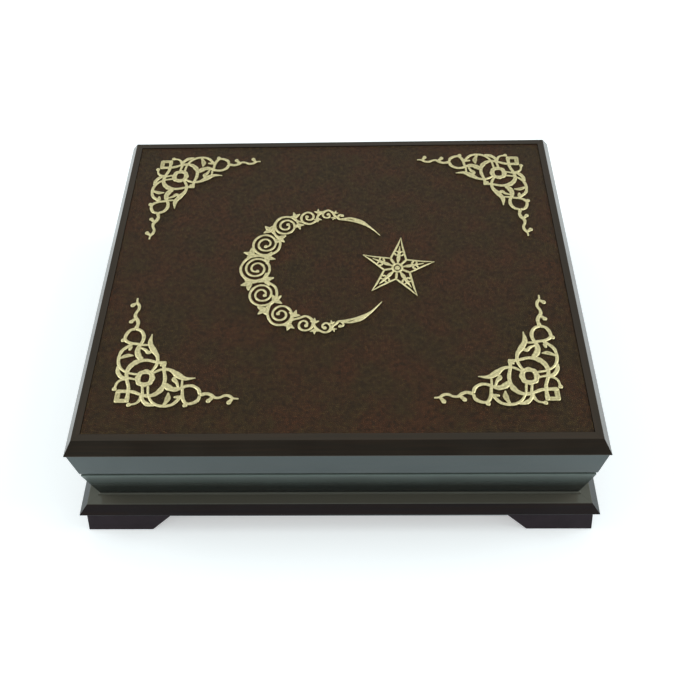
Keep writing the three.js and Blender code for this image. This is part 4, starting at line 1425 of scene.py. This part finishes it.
def pale_floor(look):
    """A pale floor that keeps the shadow and glows white where it is seen."""
    made, tree, _ = new_material("Pale floor")
    path = add(tree, "ShaderNodeLightPath").outputs
    seen = maths(tree, "MAXIMUM", path["Is Camera Ray"], path["Is Glossy Ray"])
    through = maths(tree, "MAXIMUM", seen, path["Is Transmission Ray"])
    close_material(made, {"Base Color": (*look.floor, 1), "Roughness": 0.9,
                          "Specular IOR Level": 0, "Emission Color": (1, 1, 1, 1),
                          "Emission Strength": maths(tree, "MULTIPLY", through, look.floor_glow)})
    reach = FLOOR_REACH
    corners = [(-reach, -reach, 0), (reach, -reach, 0), (reach, reach, 0), (-reach, reach, 0)]
    floor = new_piece("floor", corners, [(0, 1, 2, 3)])
    floor.data.materials.append(made)
    return floor


def room(look):
    """A room that is white low down and grey overhead, and dark low down in front of the box."""
    world = bpy.data.worlds.new("Room")
    bpy.context.scene.world = world
    world.use_nodes = True
    tree = world.node_tree
    tree.nodes.clear()
    way = add(tree, "ShaderNodeTexCoord").outputs["Generated"]
    parts = add(tree, "ShaderNodeSeparateXYZ", {0: way}).outputs
    level = ramp(tree, parts["Z"], 0.1, 0.5, look.horizon, look.ceiling, "SMOOTHSTEP")
    front = ramp(tree, parts["Y"], -0.9, -0.35, look.dark_side, 1, "SMOOTHSTEP")
    overhead = ramp(tree, parts["Z"], 0.45, 0.75, kind="SMOOTHSTEP")
    strength = maths(tree, "MULTIPLY", level, maths(tree, "MAXIMUM", front, overhead))
    air = add(tree, "ShaderNodeBackground", {"Color": (0.99, 1, 0.99, 1), "Strength": strength})
    add(tree, "ShaderNodeOutputWorld", {"Surface": air.outputs[0]})


def soft_lamp(name, place, width, power):
    """A square soft lamp aimed at the box."""
    lamp = bpy.data.lights.new(name, "AREA")
    lamp.shape = "SQUARE"
    lamp.size = width
    lamp.energy = power
    source = bpy.data.objects.new(name, lamp)
    source.location = place
    source.rotation_euler = (Vector(place) - Vector(LAMP_AIM)).to_track_quat("Z", "Y").to_euler()
    bpy.context.scene.collection.objects.link(source)


def camera():
    """The camera of the photograph."""
    pitch, yaw, roll = CAMERA_PITCH, CAMERA_YAW, CAMERA_ROLL
    ahead = Vector((math.sin(yaw) * math.cos(pitch), math.cos(yaw) * math.cos(pitch),
                    -math.sin(pitch)))
    right = Vector((math.cos(yaw), -math.sin(yaw), 0))
    up = right.cross(ahead)
    rolled_right = right * math.cos(roll) + up * math.sin(roll)
    rolled_up = up * math.cos(roll) - right * math.sin(roll)
    data = bpy.data.cameras.new("Camera")
    data.lens = CAMERA_LENS
    data.sensor_width = 36
    data.clip_start = 0.01
    eye = bpy.data.objects.new("Camera", data)
    turn = Matrix((rolled_right, rolled_up, -ahead)).transposed()
    eye.matrix_world = Matrix.Translation(CAMERA_PLACE) @ turn.to_4x4()
    bpy.context.scene.collection.objects.link(eye)
    bpy.context.scene.camera = eye


# Operators, one for each piece or group, and one for the stage


class BOX_OT_lid_rails(bpy.types.Operator):
    """Make the frame and the walls of the lid"""

    bl_idname = "quran_box.lid_rails"
    bl_label = "Lid Rails"

    def execute(self, context):
        sizes = context.scene.box_sizes
        add_rails("frame_rail", "lid_frame", frame_section(sizes), "lid")
        add_rails("lid_side", "lid_wall", lid_wall_section(sizes), "lid")
        return {"FINISHED"}


class BOX_OT_base_rails(bpy.types.Operator):
    """Make the walls of the base and the plinth"""

    bl_idname = "quran_box.base_rails"
    bl_label = "Base Rails"

    def execute(self, context):
        sizes = context.scene.box_sizes
        add_rails("base_side", "base_wall", base_wall_section(sizes), "root")
        add_rails("plinth_rail", "plinth", plinth_section(sizes), "root")
        return {"FINISHED"}


class BOX_OT_feet(bpy.types.Operator):
    """Make the bracket feet"""

    bl_idname = "quran_box.feet"
    bl_label = "Feet"

    def execute(self, context):
        sizes = context.scene.box_sizes
        stain = finish("Satin stained beech", satin_stain, context.scene.box_colours)
        for i, side in enumerate(SIDES):
            after = SIDES[(i + 1) % 4][0]
            before = SIDES[(i + 3) % 4][0]
            for other, other_end in ((after, False), (before, True)):
                name = "foot_bracket_" + side[0] + "_" + other
                bracket = foot_bracket(name, side, other_end, sizes)
                hand_over(bracket, "root", "foot_wood", stain, "foot_" + side[0] + "_by_" + other)
        return {"FINISHED"}


class BOX_OT_leather(bpy.types.Operator):
    """Make the leather panel of the lid"""

    bl_idname = "quran_box.leather"
    bl_label = "Leather"

    def execute(self, context):
        low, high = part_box("lid_leather_panel")
        snug = Vector((CLEARANCE, CLEARANCE, 0)) * 0.6
        colours = context.scene.box_colours
        grain = context.scene.box_sizes.leather_grain
        hide = finish("Pebbled leather", pebbled_leather, colours, grain)
        panel = covered_board("lid_leather", low - snug, high + snug, 0.3 * MM, 3 * MM, 0.04 * MM)
        shade(panel, 60)
        hand_over(panel, "lid", "leather", hide, "lid_leather_panel")
        return {"FINISHED"}


class BOX_OT_corner_mounts(bpy.types.Operator):
    """Make the four openwork corner mounts"""

    bl_idname = "quran_box.corner_mounts"
    bl_label = "Corner Mounts"

    def execute(self, context):
        sizes = context.scene.box_sizes
        for row in ("front", "back"):
            for end in ("left", "right"):
                corner = row + "_" + end
                corner_mount("corner_ornament_" + corner, "corner_mount_" + corner,
                             end == "right", row == "back", sizes)
        return {"FINISHED"}


class BOX_OT_crescent(bpy.types.Operator):
    """Make the crescent mount"""

    bl_idname = "quran_box.crescent"
    bl_label = "Crescent"

    def execute(self, context):
        crescent_mount("crescent_ornament", "crescent_mount", context.scene.box_sizes)
        return {"FINISHED"}


class BOX_OT_star(bpy.types.Operator):
    """Make the star mount"""

    bl_idname = "quran_box.star"
    bl_label = "Star"

    def execute(self, context):
        star_mount("star_ornament", "star_mount", context.scene.box_sizes)
        return {"FINISHED"}


class BOX_OT_linings(bpy.types.Operator):
    """Make the velvet linings of the lid and the base"""

    bl_idname = "quran_box.linings"
    bl_label = "Linings"

    def execute(self, context):
        velvet = finish("Cotton velvet", cotton_velvet, context.scene.box_colours)
        for part, body in (("lid", "lid"), ("base", "root")):
            node = part + "_lining_front"
            inner, outer = outs(node)
            bottom, top = levels(node)
            edge = 0.6 * MM
            section = rounded([(inner, bottom, edge), (outer, bottom, 0), (outer, top, 0),
                               (inner, top, edge)])
            for side in SIDES:
                strip = rail(part + "_velvet_" + side[0], side, section, velvet)
                shade(strip, 60)
                hand_over(strip, body, "velvet", velvet, part + "_lining_" + side[0])
        for name, body, node, roll in (("lid_velvet_top", "lid", "lid_lining_top", MM),
                                       ("base_velvet_floor", "root", "base_lining_floor", 0.8 * MM)):
            low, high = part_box(node)
            board = covered_board(name, low, high, roll, 6 * MM, 0.1 * MM, down=body == "lid")
            shade(board, 60)
            hand_over(board, body, "velvet", velvet, node)
        return {"FINISHED"}


class BOX_OT_hinges(bpy.types.Operator):
    """Make the two stop hinges and their screws"""

    bl_idname = "quran_box.hinges"
    bl_label = "Hinges"

    def execute(self, context):
        sizes = context.scene.box_sizes
        brass = finish("Satin brass", satin_brass, context.scene.box_colours)
        for end in ("left", "right"):
            for part, body in (("lid", "lid"), ("base", "root")):
                leaf = hinge_leaf(part + "_leaf_" + end, part, end, sizes)
                hand_over(leaf, body, "brass", brass, "hinge_leaf_" + part + "_" + end)
            pin = hinge_pin("pin_" + end, end, sizes)
            hand_over(pin, "root", "brass", brass, "hinge_pin_" + end)
        pattern = screw_pattern(sizes)
        for part, body in (("lid", "lid"), ("base", "root")):
            screws = set_screws("screws_" + part, part, pattern, sizes, brass)
            nodes = ["hinge_screw_" + part + "_" + end + "_" + which
                     for end in ("left", "right") for which in ("1", "2")]
            hand_over(screws, body, "brass", brass, *nodes)
        bpy.data.objects.remove(pattern)
        return {"FINISHED"}


class BOX_OT_boards(bpy.types.Operator):
    """Give the plain boards their wood"""

    bl_idname = "quran_box.boards"
    bl_label = "Boards"

    def execute(self, context):
        wood = finish("Plain board", plain_board, context.scene.box_colours)
        for node in ("lid_board", "bottom_panel"):
            board = bpy.data.objects[node]
            for slot in board.material_slots:
                slot.link = "OBJECT"
                slot.material = wood
        return {"FINISHED"}


class BOX_OT_stage(bpy.types.Operator):
    """Set the floor, the room, the lamps and the camera"""

    bl_idname = "quran_box.stage"
    bl_label = "Stage"

    def execute(self, context):
        look = context.scene.box_look
        context.scene.view_settings.view_transform = "Standard"
        floor = pale_floor(look)
        room(look)
        soft_lamp("Key lamp", KEY_PLACE, KEY_WIDTH, look.key_power)
        soft_lamp("Fill lamp", FILL_PLACE, FILL_WIDTH, look.fill_power)
        camera()
        return {"FINISHED"}


class BOX_PT_sidebar(bpy.types.Panel):
    """Everything of the box in the sidebar"""

    bl_idname = "BOX_PT_sidebar"
    bl_label = "Quran Box"
    bl_space_type = "VIEW_3D"
    bl_region_type = "UI"
    bl_category = "Quran Box"

    def draw(self, context):
        for settings in (context.scene.box_sizes, context.scene.box_colours, context.scene.box_look):
            column = self.layout.column()
            for name in settings.__annotations__:
                column.prop(settings, name)
        for operator in OPERATORS:
            self.layout.operator(operator.bl_idname)


OPERATORS = (BOX_OT_lid_rails, BOX_OT_base_rails, BOX_OT_feet, BOX_OT_leather,
             BOX_OT_corner_mounts, BOX_OT_crescent, BOX_OT_star, BOX_OT_linings, BOX_OT_hinges,
             BOX_OT_boards, BOX_OT_stage)
GROUPS = {"box_sizes": BoxSizes, "box_colours": BoxColours, "box_look": BoxLook}


def register():
    """Registers the settings, the operators and the panel."""
    for name, kind in GROUPS.items():
        bpy.utils.register_class(kind)
        setattr(bpy.types.Scene, name, PointerProperty(type=kind))
    for kind in (*OPERATORS, BOX_PT_sidebar):
        bpy.utils.register_class(kind)


def unregister():
    """Removes what register added."""
    for kind in (BOX_PT_sidebar, *reversed(OPERATORS)):
        bpy.utils.unregister_class(kind)
    for name, kind in reversed(GROUPS.items()):
        delattr(bpy.types.Scene, name)
        bpy.utils.unregister_class(kind)


def main():
    """Makes the whole box and its stage."""
    register()
    for operator in OPERATORS:
        action = operator.bl_idname.split(".")[1]
        if getattr(bpy.ops.quran_box, action)() != {"FINISHED"}:
            raise RuntimeError("The step could not be finished: " + operator.bl_label)


if __name__ == "__main__":
    main()
